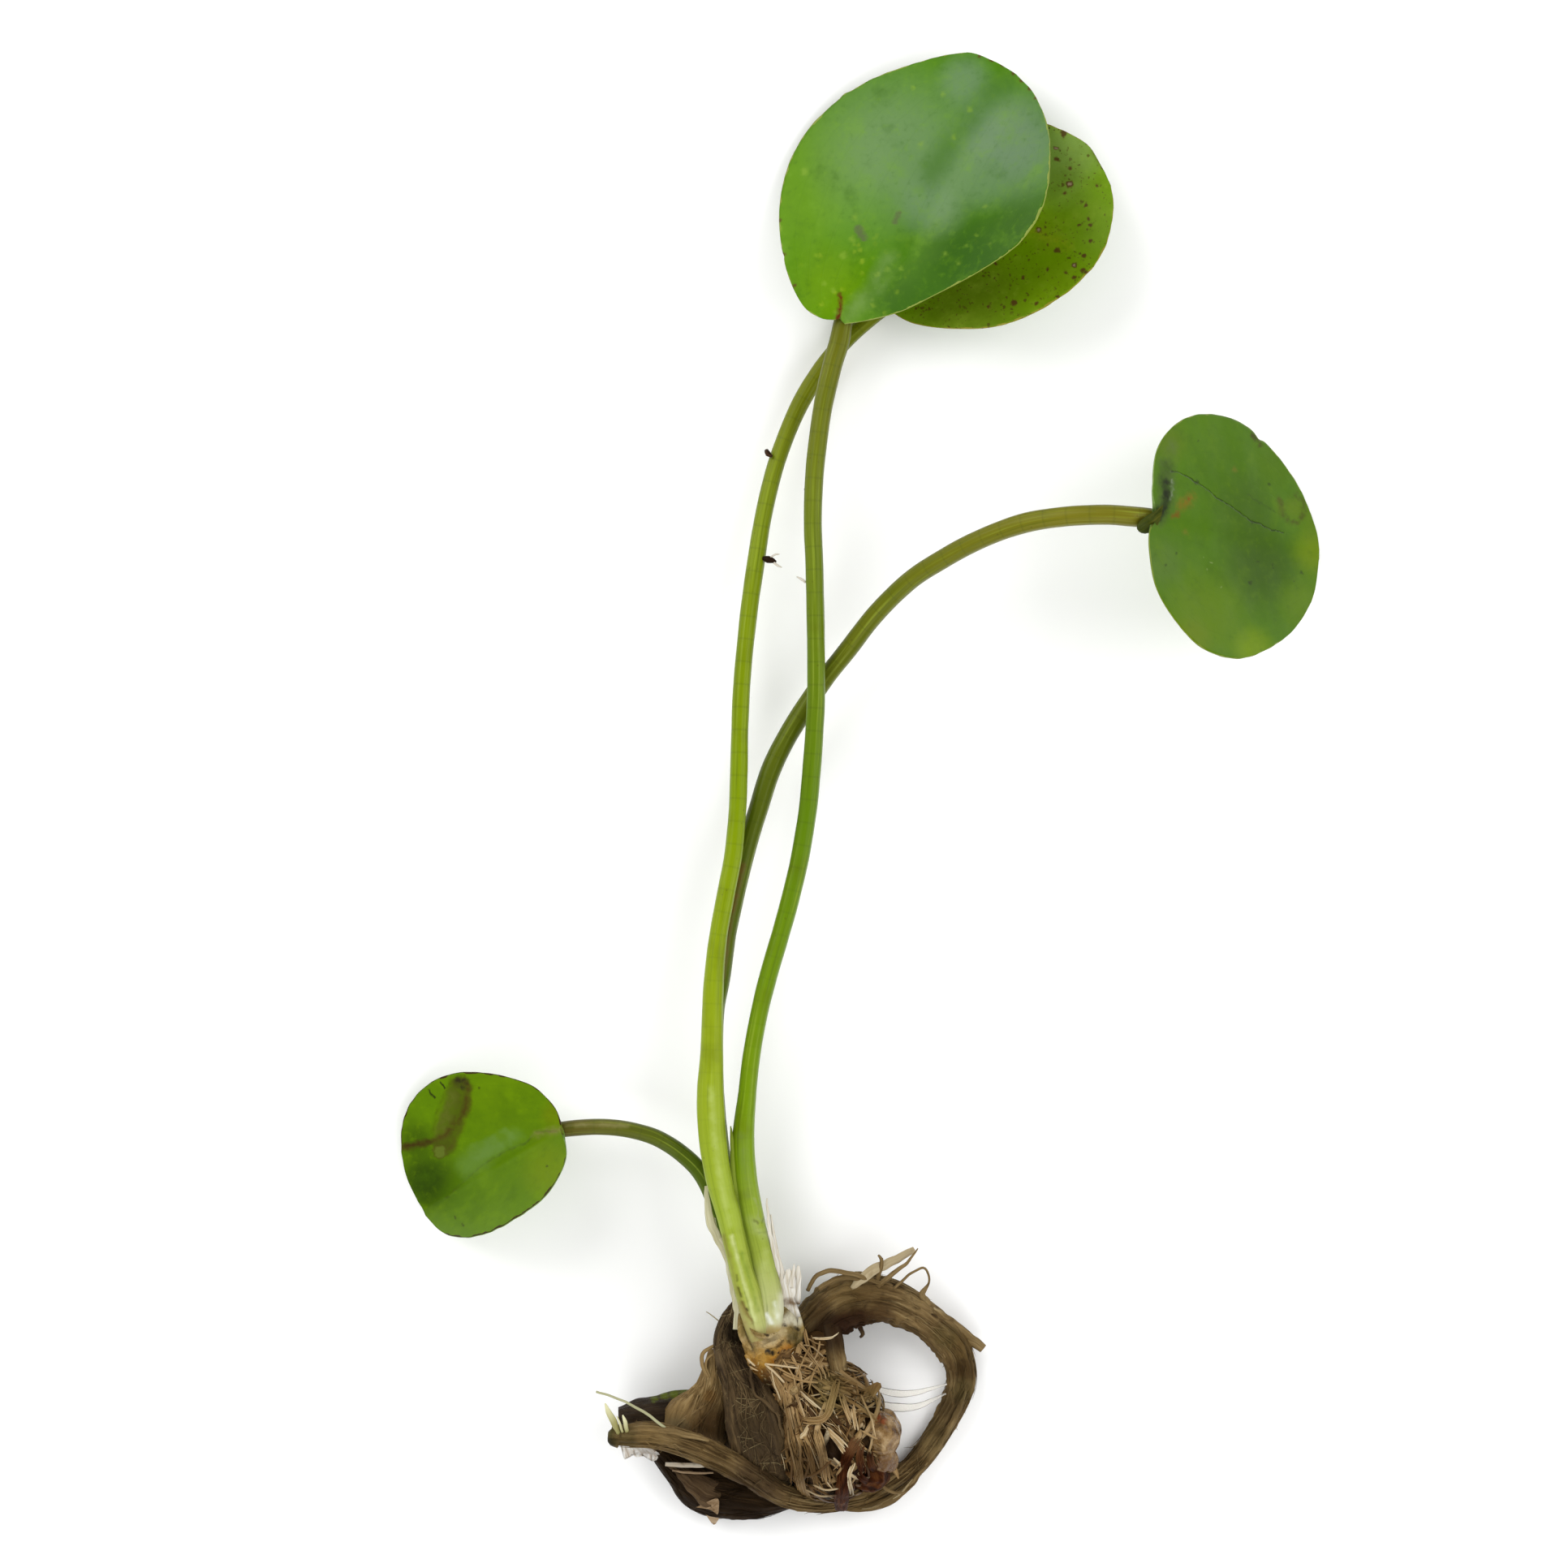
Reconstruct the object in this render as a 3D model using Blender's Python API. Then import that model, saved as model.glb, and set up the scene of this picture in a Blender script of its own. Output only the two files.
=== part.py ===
"""A water poppy lifted out of its pond, lying on its side on a flat surface.

Four heart-based leaves stand on long fleshy stalks. The stalks grow from a short crown,
and below it hang the old rhizome, dead stalks, one long withered runner and the root mass.
The root end points to -Y, the leaves point to +Y, and the plant lies on the plane z = 0.
All lengths below are in millimetres. MM turns them into Blender's metres.
"""

import math
from typing import NamedTuple

import bmesh
import bpy
from mathutils import Vector

MM = 0.001
UP = Vector((0.0, 0.0, 1.0))

# Clearance that each neighbour cuts out of the piece that gives way to it
GAP = 0.42

# Leaf blades: a thin sheet with a fleshy keel under the midrib
BLADE_THICKNESS = 0.8
KEEL_DEPTH = 0.8
KEEL_HALF_WIDTH = 2.2
BLADE_ROWS = 14
BLADE_COLUMNS_PER_HALF = 7

# Tubes: distance between rings, and corners in a ring
STALK_SPACING = 6.5
STALK_SIDES = 10
DEAD_SPACING = 4.5
DEAD_SIDES = 10
ROOT_SPACING = 4.0
ROOT_SIDES = 6


class Blade(NamedTuple):
    """A leaf blade on its stalk. The margins are seen from above, from base to tip, as x, y."""

    base: tuple  # x, y and height of the top of the stalk
    tip: tuple
    sway: float  # how far the midrib swings to either side of the straight line
    left_rise: tuple  # slope in degrees at the midrib, at the margin, and the width between
    right_rise: tuple
    left_margin: list
    right_margin: list


BLADES = {
    "leaf_front": Blade(
        (-6.5, 116.0, 15.5), (36.5, 175.5, 10.5), 1.9, (-10.0, -30.0, 33.0), (30.0, 58.0, 25.0),
        [(-8.0, 115.0), (-11.5, 115.5), (-16.0, 119.0), (-20.0, 128.5), (-21.5, 142.0),
         (-19.0, 154.5), (-12.5, 165.0), (-1.5, 173.5), (11.5, 178.5), (24.0, 181.0),
         (30.5, 179.0), (34.8, 176.6)],
        [(-5.5, 114.0), (1.0, 115.0), (8.5, 117.0), (16.0, 120.5), (28.0, 126.5),
         (37.5, 133.5), (43.0, 144.5), (44.0, 160.0), (41.0, 170.0), (38.0, 173.9)],
    ),
    "leaf_behind": Blade(
        (5.5, 119.5, 8.0), (58.0, 151.5, 13.0), 0.0, (-14.0, -8.0, 27.0), (20.0, 38.0, 24.0),
        [(4.0, 121.0), (-1.0, 126.5), (-3.0, 135.5), (-0.5, 146.0), (7.0, 155.5),
         (18.5, 163.0), (31.5, 166.5), (44.0, 163.5), (53.5, 158.5), (57.0, 153.0)],
        [(6.0, 117.5), (11.5, 114.5), (21.0, 113.0), (32.5, 113.5), (43.5, 118.0),
         (52.5, 125.0), (58.0, 133.0), (60.0, 142.0), (59.5, 148.0)],
    ),
    "leaf_right": Blade(
        (69.0, 65.5, 44.6), (111.5, 58.5, 1.2), 0.0, (-22.0, -26.0, 30.0), (26.0, 36.0, 30.0),
        [(68.0, 67.0), (68.0, 73.0), (69.0, 81.5), (72.5, 87.0), (77.5, 90.5),
         (84.0, 91.5), (92.0, 89.5), (100.0, 83.0), (106.5, 74.5), (110.5, 65.0), (111.5, 59.5)],
        [(67.5, 64.0), (67.0, 57.0), (68.5, 48.5), (73.0, 41.0), (79.5, 34.5),
         (88.0, 32.0), (96.0, 34.0), (104.0, 39.5), (109.5, 47.5), (111.5, 57.0)],
    ),
    "leaf_small": Blade(
        (-75.0, -82.0, 16.0), (-109.5, -102.5, 0.8), 0.0, (46.0, 60.0, 14.0), (6.0, -8.0, 26.0),
        [(-74.5, -83.5), (-73.5, -86.2), (-73.4, -89.2), (-74.9, -93.2), (-78.0, -97.8),
         (-82.5, -101.6), (-87.5, -104.8), (-92.0, -107.1), (-98.0, -108.7), (-104.0, -108.0),
         (-108.5, -104.5)],
        [(-75.0, -80.6), (-75.9, -77.6), (-78.3, -74.6), (-82.5, -71.4), (-91.5, -69.0),
         (-101.0, -69.0), (-108.5, -72.5), (-113.0, -78.5), (-114.5, -86.0), (-113.5, -94.0),
         (-110.5, -101.0)],
    ),
}

# Tube routes: each station is x, y, z, half width across and half height
STALKS = {
    "stalk_front": [
        (-23.2, -129.7, 17.2, 2.6, 2.6), (-25.4, -113.6, 18.0, 2.7, 2.6),
        (-27.9, -103.7, 18.0, 2.8, 2.7), (-29.6, -93.8, 18.0, 2.8, 2.7),
        (-30.2, -84.0, 18.0, 2.7, 2.6), (-29.3, -74.1, 18.0, 2.25, 2.3),
        (-28.2, -64.2, 18.0, 2.15, 2.2), (-26.4, -54.3, 18.0, 2.15, 2.2),
        (-24.0, -44.4, 18.0, 2.2, 2.2), (-21.1, -34.6, 18.0, 2.25, 2.2),
        (-18.4, -24.7, 18.0, 2.25, 2.2), (-16.2, -14.8, 18.0, 2.25, 2.2),
        (-14.6, -4.9, 18.0, 2.25, 2.2), (-13.6, 5.0, 18.0, 2.25, 2.2),
        (-12.9, 14.8, 18.0, 2.25, 2.2), (-12.5, 24.7, 18.0, 2.2, 2.2),
        (-12.6, 38.6, 18.0, 2.2, 2.2), (-12.9, 54.4, 17.5, 2.2, 2.2),
        (-13.3, 64.3, 17.0, 2.2, 2.2), (-13.1, 74.2, 16.3, 2.25, 2.2),
        (-12.2, 84.1, 15.7, 2.3, 2.25), (-10.8, 94.1, 14.8, 2.35, 2.3),
        (-8.5, 104.1, 13.4, 2.45, 2.3), (-6.8, 110.0, 12.4, 2.5, 2.2),
        (-5.4, 116.4, 11.5, 2.2, 1.9),
    ],
    "stalk_behind": [
        (-27.2, -131.3, 20.8, 2.6, 2.6), (-30.6, -115.3, 21.0, 2.6, 2.6),
        (-33.7, -103.5, 21.0, 2.9, 2.7), (-36.3, -93.6, 21.0, 3.2, 2.9),
        (-37.7, -83.8, 21.0, 3.4, 2.9), (-38.2, -73.9, 21.0, 3.3, 2.9),
        (-37.9, -64.1, 20.5, 2.8, 2.6), (-37.7, -54.2, 20.0, 2.6, 2.5),
        (-37.3, -44.4, 19.6, 2.4, 2.4), (-36.2, -34.5, 19.0, 2.25, 2.3),
        (-34.4, -24.7, 18.2, 2.2, 2.2), (-32.6, -14.8, 17.4, 2.2, 2.2),
        (-31.7, -4.9, 16.5, 2.15, 2.2), (-31.3, 5.0, 15.6, 2.15, 2.15),
        (-31.1, 14.9, 14.5, 2.1, 2.1), (-30.7, 24.8, 13.5, 2.1, 2.1),
        (-29.9, 34.7, 12.5, 2.1, 2.1), (-28.8, 44.7, 11.6, 2.15, 2.1),
        (-27.4, 54.6, 10.6, 2.2, 2.15), (-25.9, 64.6, 9.5, 2.1, 2.1),
        (-23.8, 74.6, 8.4, 2.1, 2.1), (-20.8, 84.6, 7.1, 2.1, 2.1),
        (-16.6, 94.6, 6.0, 2.15, 2.1), (-11.4, 103.3, 5.0, 2.2, 2.1),
        (-6.1, 109.9, 4.6, 2.1, 2.0), (-0.6, 115.0, 4.4, 2.0, 1.9),
        (6.3, 120.3, 4.1, 1.9, 1.8),
    ],
    "stalk_right": [
        (-25.3, -129.9, 12.0, 2.4, 2.4), (-27.4, -116.0, 11.8, 2.4, 2.4),
        (-31.6, -104.1, 11.8, 2.4, 2.4), (-34.7, -94.1, 12.0, 2.4, 2.4),
        (-36.6, -82.2, 13.2, 2.4, 2.4), (-37.5, -68.3, 14.0, 2.4, 2.4),
        (-37.3, -54.5, 14.0, 2.4, 2.4), (-35.7, -44.6, 13.7, 2.4, 2.4),
        (-34.3, -34.7, 13.3, 2.4, 2.4), (-32.2, -24.8, 12.9, 2.4, 2.4),
        (-29.8, -14.9, 12.4, 2.4, 2.4), (-26.8, -4.9, 12.0, 2.4, 2.4),
        (-23.6, 5.0, 12.0, 2.45, 2.4), (-19.8, 12.9, 12.0, 2.45, 2.4),
        (-14.7, 21.2, 12.0, 2.4, 2.4), (-10.0, 28.0, 12.4, 2.3, 2.3),
        (-4.6, 34.8, 14.2, 2.3, 2.3), (2.2, 43.4, 17.8, 2.3, 2.3),
        (10.0, 51.0, 22.2, 2.3, 2.3), (17.8, 56.1, 26.6, 2.35, 2.3),
        (27.5, 61.1, 32.0, 2.35, 2.3), (37.0, 64.4, 37.2, 2.4, 2.3),
        (46.6, 65.9, 41.0, 2.4, 2.3), (56.2, 66.3, 43.2, 2.4, 2.3),
        (62.6, 65.9, 43.2, 2.45, 2.3), (66.0, 65.6, 41.8, 2.45, 2.1),
        (68.2, 65.4, 39.4, 2.2, 2.0),
    ],
    "stalk_small": [
        (-29.6, -131.6, 15.8, 1.7, 1.7), (-31.4, -120.8, 16.1, 1.7, 1.7),
        (-34.0, -110.0, 15.6, 1.85, 1.8), (-37.0, -101.1, 14.6, 2.0, 1.9),
        (-39.2, -95.6, 14.1, 2.1, 2.0), (-41.7, -91.8, 13.7, 2.15, 2.0),
        (-45.3, -88.5, 13.0, 2.1, 2.0), (-49.2, -85.8, 13.4, 2.05, 2.0),
        (-53.2, -83.9, 13.8, 2.0, 1.9), (-59.1, -82.4, 14.3, 1.98, 1.9),
        (-65.1, -81.9, 14.0, 1.98, 1.9), (-71.0, -82.2, 12.8, 1.98, 1.8),
        (-76.4, -83.0, 11.5, 1.9, 1.7),
    ],
}

CROWN = [
    (-21.6, -146.0, 15.0, 3.0, 3.0),
    (-22.2, -143.0, 15.2, 5.8, 5.6),
    (-23.2, -138.0, 16.0, 7.3, 7.0),
    (-25.2, -131.0, 16.5, 7.5, 7.6),
]

RUNNER = [
    (-14.5, -132.5, 10.0, 5.0, 3.4),
    (-9.5, -127.5, 10.5, 6.0, 3.5),
    (-3.5, -124.5, 10.5, 6.4, 3.5),
    (5.5, -124.8, 9.5, 5.4, 3.2),
    (14.4, -129.6, 7.5, 4.3, 2.8),
    (21.0, -136.2, 5.5, 4.0, 2.4),
    (23.3, -143.0, 4.2, 3.5, 2.2),
    (22.3, -148.6, 3.4, 3.2, 2.0),
    (19.0, -155.4, 2.8, 2.9, 2.0),
    (14.6, -162.2, 2.6, 2.8, 1.9),
    (10.4, -167.0, 2.6, 2.6, 1.8),
    (4.0, -171.2, 3.2, 2.5, 1.7),
    (-3.0, -173.4, 4.6, 2.4, 1.7),
    (-11.5, -174.4, 7.5, 2.4, 1.7),
    (-20.5, -172.0, 12.0, 2.6, 1.8),
    (-27.5, -167.2, 16.5, 2.8, 1.9),
    (-34.5, -163.0, 19.0, 3.0, 2.0),
    (-42.0, -159.5, 19.5, 3.1, 2.0),
    (-51.0, -157.0, 18.0, 3.0, 2.0),
    (-59.0, -157.0, 16.0, 2.6, 1.9),
    (-62.0, -157.0, 15.2, 2.3, 1.7),
]

DEAD_STALK_DARK = [
    (-34.6, -127.0, 11.0, 1.6, 1.5),
    (-33.9, -135.3, 14.0, 3.3, 2.4),
    (-29.6, -145.6, 17.5, 5.6, 3.0),
    (-27.0, -155.5, 18.0, 7.0, 3.2),
    (-24.4, -165.0, 13.0, 6.8, 3.0),
    (-22.4, -170.6, 8.5, 4.6, 2.2),
]

DEAD_STALK_TAN = [
    (-37.2, -136.5, 11.5, 1.5, 1.4),
    (-37.9, -145.8, 13.5, 4.1, 2.5),
    (-41.3, -153.2, 13.2, 7.4, 3.0),
    (-42.8, -158.6, 10.5, 7.4, 2.6),
]

OLD_RHIZOME = [
    (-33.0, -152.0, 8.0, 5.0, 4.8),
    (-42.0, -152.0, 8.2, 5.0, 5.0),
    (-50.0, -152.6, 8.4, 4.6, 4.6),
    (-56.5, -153.2, 8.5, 3.9, 4.0),
    (-60.8, -153.4, 8.5, 2.6, 2.8),
]

DEAD_LEAF_BASE = [
    (-53.0, -160.0, 5.0, 1.8, 3.0),
    (-46.0, -165.5, 5.5, 4.7, 4.5),
    (-40.0, -169.5, 5.1, 8.0, 5.2),
    (-33.0, -171.5, 5.2, 8.9, 5.4),
    (-25.0, -172.0, 5.5, 6.4, 5.0),
    (-17.0, -173.0, 4.5, 2.6, 3.6),
]

SHEATH_LEFT = [
    (-37.6, -103.8, 17.6, 0.7, 0.4),
    (-36.8, -107.5, 17.6, 0.9, 0.4),
    (-33.9, -112.0, 17.7, 0.9, 0.4),
    (-32.4, -118.5, 17.8, 1.2, 0.4),
    (-31.3, -125.0, 17.9, 1.3, 0.4),
    (-31.5, -131.0, 17.9, 1.4, 0.4),
]

SHEATH_RIGHT = [
    (-22.9, -104.5, 18.0, 0.5, 0.4),
    (-21.2, -112.5, 18.2, 1.0, 0.4),
    (-19.9, -119.5, 18.5, 1.7, 0.4),
    (-18.7, -126.5, 17.8, 2.0, 0.4),
    (-18.1, -132.5, 15.5, 1.9, 0.4),
]

ROOT_LEFT = [
    (-66.0, -146.0, 19.0, 0.5, 0.5),
    (-60.0, -148.0, 19.5, 0.5, 0.5),
    (-53.5, -151.5, 19.8, 0.6, 0.6),
    (-48.5, -155.5, 20.6, 0.7, 0.6),
]

ROOT_UPPER = [
    (-3.5, -120.9, 14.6, 1.4, 0.9),
    (1.0, -117.2, 14.0, 1.3, 0.9),
    (6.0, -114.9, 12.5, 1.1, 0.8),
    (11.6, -112.0, 11.0, 0.8, 0.7),
]

# Root mass: a lumpy egg, flat where it lies, with ridges that fan out from below the crown
ROOT_MASS_CENTRE = Vector((-9.0, -156.5, 10.5))
ROOT_MASS_RADII = Vector((14.2, 17.2, 13.2))
ROOT_FAN_ORIGIN = Vector((-23.5, -141.0, 0.0))
ROOT_RIDGES = 22
ROOT_RIDGE_HEIGHT = 0.7
# Each lump is x, y, z, height and radius
ROOT_LUMPS = [
    (4.5, -162.0, 12.0, 1.8, 6.0),
    (-1.5, -170.0, 9.0, 1.8, 6.0),
    (-20.0, -149.0, 22.0, 2.0, 6.0),
]

COLOURS = {
    "leaf_front": "#4f8f1f",
    "leaf_behind": "#7f9a35",
    "leaf_right": "#5c8f25",
    "leaf_small": "#7f9f3a",
    "stalk_front": "#6f9a36",
    "stalk_behind": "#8fb53a",
    "stalk_right": "#5a7434",
    "stalk_small": "#6d7d35",
    "crown": "#cdb98a",
    "sheath_left": "#b3a078",
    "sheath_right": "#d5cfbe",
    "runner": "#7b6848",
    "dead_stalk_dark": "#4f4636",
    "dead_stalk_tan": "#857050",
    "old_rhizome": "#2e261c",
    "dead_leaf_base": "#3a3023",
    "root_mass": "#9a815b",
    "root_left": "#c2b48f",
    "root_upper": "#b39a72",
}
WET_ROUGHNESS = 0.35
DEAD_ROUGHNESS = 0.7


def clear_scene():
    for old in list(bpy.data.objects):
        bpy.data.objects.remove(old, do_unlink=True)


def linear_colour(hex_colour):
    """The linear red, green and blue of an sRGB hex colour."""
    channels = [int(hex_colour[i:i + 2], 16) / 255 for i in (1, 3, 5)]
    return [c / 12.92 if c <= 0.04045 else ((c + 0.055) / 1.055) ** 2.4 for c in channels]


def material_for(name):
    material = bpy.data.materials.new(name)
    material.use_nodes = True
    shader = material.node_tree.nodes["Principled BSDF"]
    shader.inputs["Base Color"].default_value = (*linear_colour(COLOURS[name]), 1.0)
    living = name.startswith(("leaf", "stalk"))
    shader.inputs["Roughness"].default_value = WET_ROUGHNESS if living else DEAD_ROUGHNESS
    return material


def new_object(name, mesh_builder):
    """Makes the object name from a filled bmesh, faces out, and gives it its material."""
    bmesh.ops.recalc_face_normals(mesh_builder, faces=mesh_builder.faces)
    mesh = bpy.data.meshes.new(name)
    mesh_builder.to_mesh(mesh)
    mesh_builder.free()
    mesh.shade_smooth()
    mesh.materials.append(material_for(name))
    obj = bpy.data.objects.new(name, mesh)
    bpy.context.scene.collection.objects.link(obj)
    return obj


def between(a, b, c, d, t):
    """The Catmull-Rom curve between b and c, at t from 0 to 1."""
    return tuple(
        0.5 * (2 * q + (r - p) * t + (2 * p - 5 * q + 4 * r - s) * t**2
               + (3 * q - p - 3 * r + s) * t**3)
        for p, q, r, s in zip(a, b, c, d)
    )


def smooth_stations(stations, spacing):
    """Stations about spacing apart on one smooth curve through the given ones."""
    ends = [stations[0], *stations, stations[-1]]
    smooth = []
    for a, b, c, d in zip(ends, ends[1:], ends[2:], ends[3:]):
        steps = max(1, round(math.dist(b[:3], c[:3]) / spacing))
        smooth += [between(a, b, c, d, step / steps) for step in range(steps)]
    return [*smooth, stations[-1]]


def make_tube(name, stations, sides, spacing):
    """A closed tube with elliptical rings along the stations, and no lower than z = 0."""
    stations = smooth_stations(stations, spacing)
    centres = [Vector(station[:3]) for station in stations]
    builder = bmesh.new()
    rings = []
    for i, (centre, station) in enumerate(zip(centres, stations)):
        onward = centres[min(i + 1, len(centres) - 1)] - centres[max(i - 1, 0)]
        across = onward.cross(UP).normalized()
        lift = across.cross(onward).normalized()
        half_width, half_height = station[3:]
        ring = []
        for side in range(sides):
            angle = 2 * math.pi * side / sides
            point = centre + across * half_width * math.cos(angle)
            point += lift * half_height * math.sin(angle)
            point.z = max(point.z, 0.0)
            ring.append(builder.verts.new(point * MM))
        rings.append(ring)
    for ring, after in zip(rings, rings[1:]):
        for side in range(sides):
            beside = (side + 1) % sides
            builder.faces.new((ring[side], ring[beside], after[beside], after[side]))
    builder.faces.new(reversed(rings[0]))
    builder.faces.new(rings[-1])
    return new_object(name, builder)


def rise_across(rise, lateral):
    """Height gained at lateral from the midrib, where the slope changes evenly across."""
    inner, outer = (math.tan(math.radians(slope)) for slope in rise[:2])
    return inner * lateral + (outer - inner) * lateral**2 / (2 * rise[2])


def blade_frame(blade):
    """The base of a blade seen from above, and its directions onward and to the left."""
    base, tip = Vector(blade.base[:2]), Vector(blade.tip[:2])
    onward = (tip - base).normalized()
    return base, onward, Vector((-onward.y, onward.x)), (tip - base).length


def midrib_place(blade, share):
    """The midrib seen from above, at share of the way from base to tip."""
    base, onward, left, length = blade_frame(blade)
    return base + onward * length * share - left * blade.sway * math.sin(2 * math.pi * share)


def blade_height(blade, place):
    """Height of the upper face at a place seen from above."""
    base, onward, left, length = blade_frame(blade)
    share = (place - base).dot(onward) / length
    swing = -blade.sway * math.sin(2 * math.pi * min(max(share, 0.0), 1.0))
    lateral = (place - base).dot(left) - swing
    rise = rise_across(blade.left_rise if lateral > 0 else blade.right_rise, abs(lateral))
    return blade.base[2] + (blade.tip[2] - blade.base[2]) * share + rise


def blade_normal(blade, place):
    """Direction straight up out of the upper face."""
    step = 0.2
    slope_x, slope_y = (
        (blade_height(blade, place + shift) - blade_height(blade, place - shift)) / (2 * step)
        for shift in (Vector((step, 0.0)), Vector((0.0, step)))
    )
    return Vector((-slope_x, -slope_y, 1.0)).normalized()


def spread_along(points, count):
    """Count + 1 points at even distances on a smooth curve through the given points."""
    fine = smooth_stations([(*point, 0.0) for point in points], 0.5)
    reached = [0.0]
    for a, b in zip(fine, fine[1:]):
        reached.append(reached[-1] + math.dist(a, b))
    spread, at = [], 0
    for step in range(count + 1):
        goal = reached[-1] * step / count
        while at < len(fine) - 2 and reached[at + 1] < goal:
            at += 1
        part = (goal - reached[at]) / (reached[at + 1] - reached[at])
        spread.append(tuple(p + (q - p) * part for p, q in zip(fine[at][:2], fine[at + 1][:2])))
    return spread


def make_blade(name):
    """A closed sheet: the upper face, and a lower face with the keel of the midrib."""
    blade = BLADES[name]
    margins = {
        1: spread_along(blade.left_margin, BLADE_ROWS),
        -1: spread_along(blade.right_margin, BLADE_ROWS),
    }
    reaches = [i / BLADE_COLUMNS_PER_HALF for i in range(BLADE_COLUMNS_PER_HALF + 1)]
    columns = [(1, reach) for reach in reversed(reaches)] + [(-1, reach) for reach in reaches[1:]]
    builder = bmesh.new()
    top, bottom = [], []
    for row in range(BLADE_ROWS + 1):
        share = (1 - math.cos(math.pi * row / BLADE_ROWS)) / 2
        middle = midrib_place(blade, share)
        top.append([])
        bottom.append([])
        for side, reach in columns:
            place = middle.lerp(Vector(margins[side][row]), reach)
            upper = Vector((*place, max(blade_height(blade, place), BLADE_THICKNESS)))
            keel = math.exp(-(((place - middle).length / KEEL_HALF_WIDTH) ** 2))
            depth = BLADE_THICKNESS + KEEL_DEPTH * (1 - share) ** 0.7 * keel
            lower = upper - blade_normal(blade, place) * depth
            lower.z = max(lower.z, 0.0)
            top[row].append(builder.verts.new(upper * MM))
            bottom[row].append(builder.verts.new(lower * MM))
    last_row, last_column = BLADE_ROWS, len(columns) - 1
    for i in range(last_row):
        for j in range(last_column):
            for face in (top, bottom):
                builder.faces.new((face[i][j], face[i + 1][j], face[i + 1][j + 1], face[i][j + 1]))
        for j in (0, last_column):
            builder.faces.new((top[i][j], top[i + 1][j], bottom[i + 1][j], bottom[i][j]))
    for j in range(last_column):
        for i in (0, last_row):
            builder.faces.new((top[i][j], top[i][j + 1], bottom[i][j + 1], bottom[i][j]))
    return new_object(name, builder)


def make_root_mass():
    builder = bmesh.new()
    bmesh.ops.create_icosphere(builder, subdivisions=4, radius=1.0)
    for vert in builder.verts:
        outward = vert.co.normalized()
        point = ROOT_MASS_CENTRE + outward * ROOT_MASS_RADII
        fan = point - ROOT_FAN_ORIGIN
        swell = ROOT_RIDGE_HEIGHT * math.cos(ROOT_RIDGES * math.atan2(fan.y, fan.x))
        for x, y, z, height, radius in ROOT_LUMPS:
            apart = (point - Vector((x, y, z))).length
            swell += height * math.exp(-((apart / radius) ** 2))
        point += outward * swell
        point.z = max(point.z, 0.0)
        vert.co = point * MM
    return new_object("root_mass", builder)


def give_way(obj, *neighbours):
    """Cuts obj back to GAP from each neighbour, with a swollen copy of it."""
    for neighbour in neighbours:
        swollen = neighbour.data.copy()
        for vert, normal in zip(swollen.vertices, neighbour.data.vertex_normals):
            vert.co += normal.vector * GAP * MM
        cutter = bpy.data.objects.new(f"{neighbour.name}_room_in_{obj.name}", swollen)
        bpy.context.scene.collection.objects.link(cutter)
        cutter.hide_render = True
        cutter.display_type = "WIRE"
        cut = obj.modifiers.new(f"room for {neighbour.name}", "BOOLEAN")
        cut.operation = "DIFFERENCE"
        cut.solver = "EXACT"
        cut.object = cutter


def main():
    clear_scene()
    for name in BLADES:
        make_blade(name)
    stalk = {}
    for name, route in STALKS.items():
        stalk[name] = make_tube(name, route, STALK_SIDES, STALK_SPACING)

    crown = make_tube("crown", CROWN, 14, 3.0)
    runner = make_tube("runner", RUNNER, DEAD_SIDES, DEAD_SPACING)
    dark = make_tube("dead_stalk_dark", DEAD_STALK_DARK, DEAD_SIDES, DEAD_SPACING)
    tan = make_tube("dead_stalk_tan", DEAD_STALK_TAN, DEAD_SIDES, DEAD_SPACING)
    rhizome = make_tube("old_rhizome", OLD_RHIZOME, DEAD_SIDES, DEAD_SPACING)
    leaf_base = make_tube("dead_leaf_base", DEAD_LEAF_BASE, DEAD_SIDES, DEAD_SPACING)
    sheath_left = make_tube("sheath_left", SHEATH_LEFT, ROOT_SIDES, ROOT_SPACING)
    sheath_right = make_tube("sheath_right", SHEATH_RIGHT, ROOT_SIDES, ROOT_SPACING)
    root_left = make_tube("root_left", ROOT_LEFT, ROOT_SIDES, ROOT_SPACING)
    root_upper = make_tube("root_upper", ROOT_UPPER, ROOT_SIDES, ROOT_SPACING)
    root_mass = make_root_mass()

    give_way(sheath_left, crown, stalk["stalk_small"], stalk["stalk_behind"])
    give_way(sheath_right, crown, stalk["stalk_front"])
    give_way(runner, crown)
    give_way(dark, crown, runner, stalk["stalk_small"], stalk["stalk_right"], sheath_left)
    give_way(tan, crown, dark, runner)
    give_way(rhizome, dark, tan, runner)
    give_way(leaf_base, runner, dark, tan, rhizome)
    give_way(root_mass, crown, runner, dark, tan, rhizome, leaf_base, sheath_right)
    give_way(root_left, runner)
    give_way(root_upper, runner)


main()
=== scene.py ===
"""The looks of a water poppy that was lifted out of its pond and laid on a pale table.

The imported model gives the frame: the surface it lies on is z = 0, the roots point to -Y and the
leaves to +Y. Sizes below are in millimetres, and MM turns them into Blender's metres.
"""

import math
import random

import bmesh
import bpy
import numpy as np
from bpy.props import FloatProperty, FloatVectorProperty, IntProperty, PointerProperty
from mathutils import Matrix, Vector, noise


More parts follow.
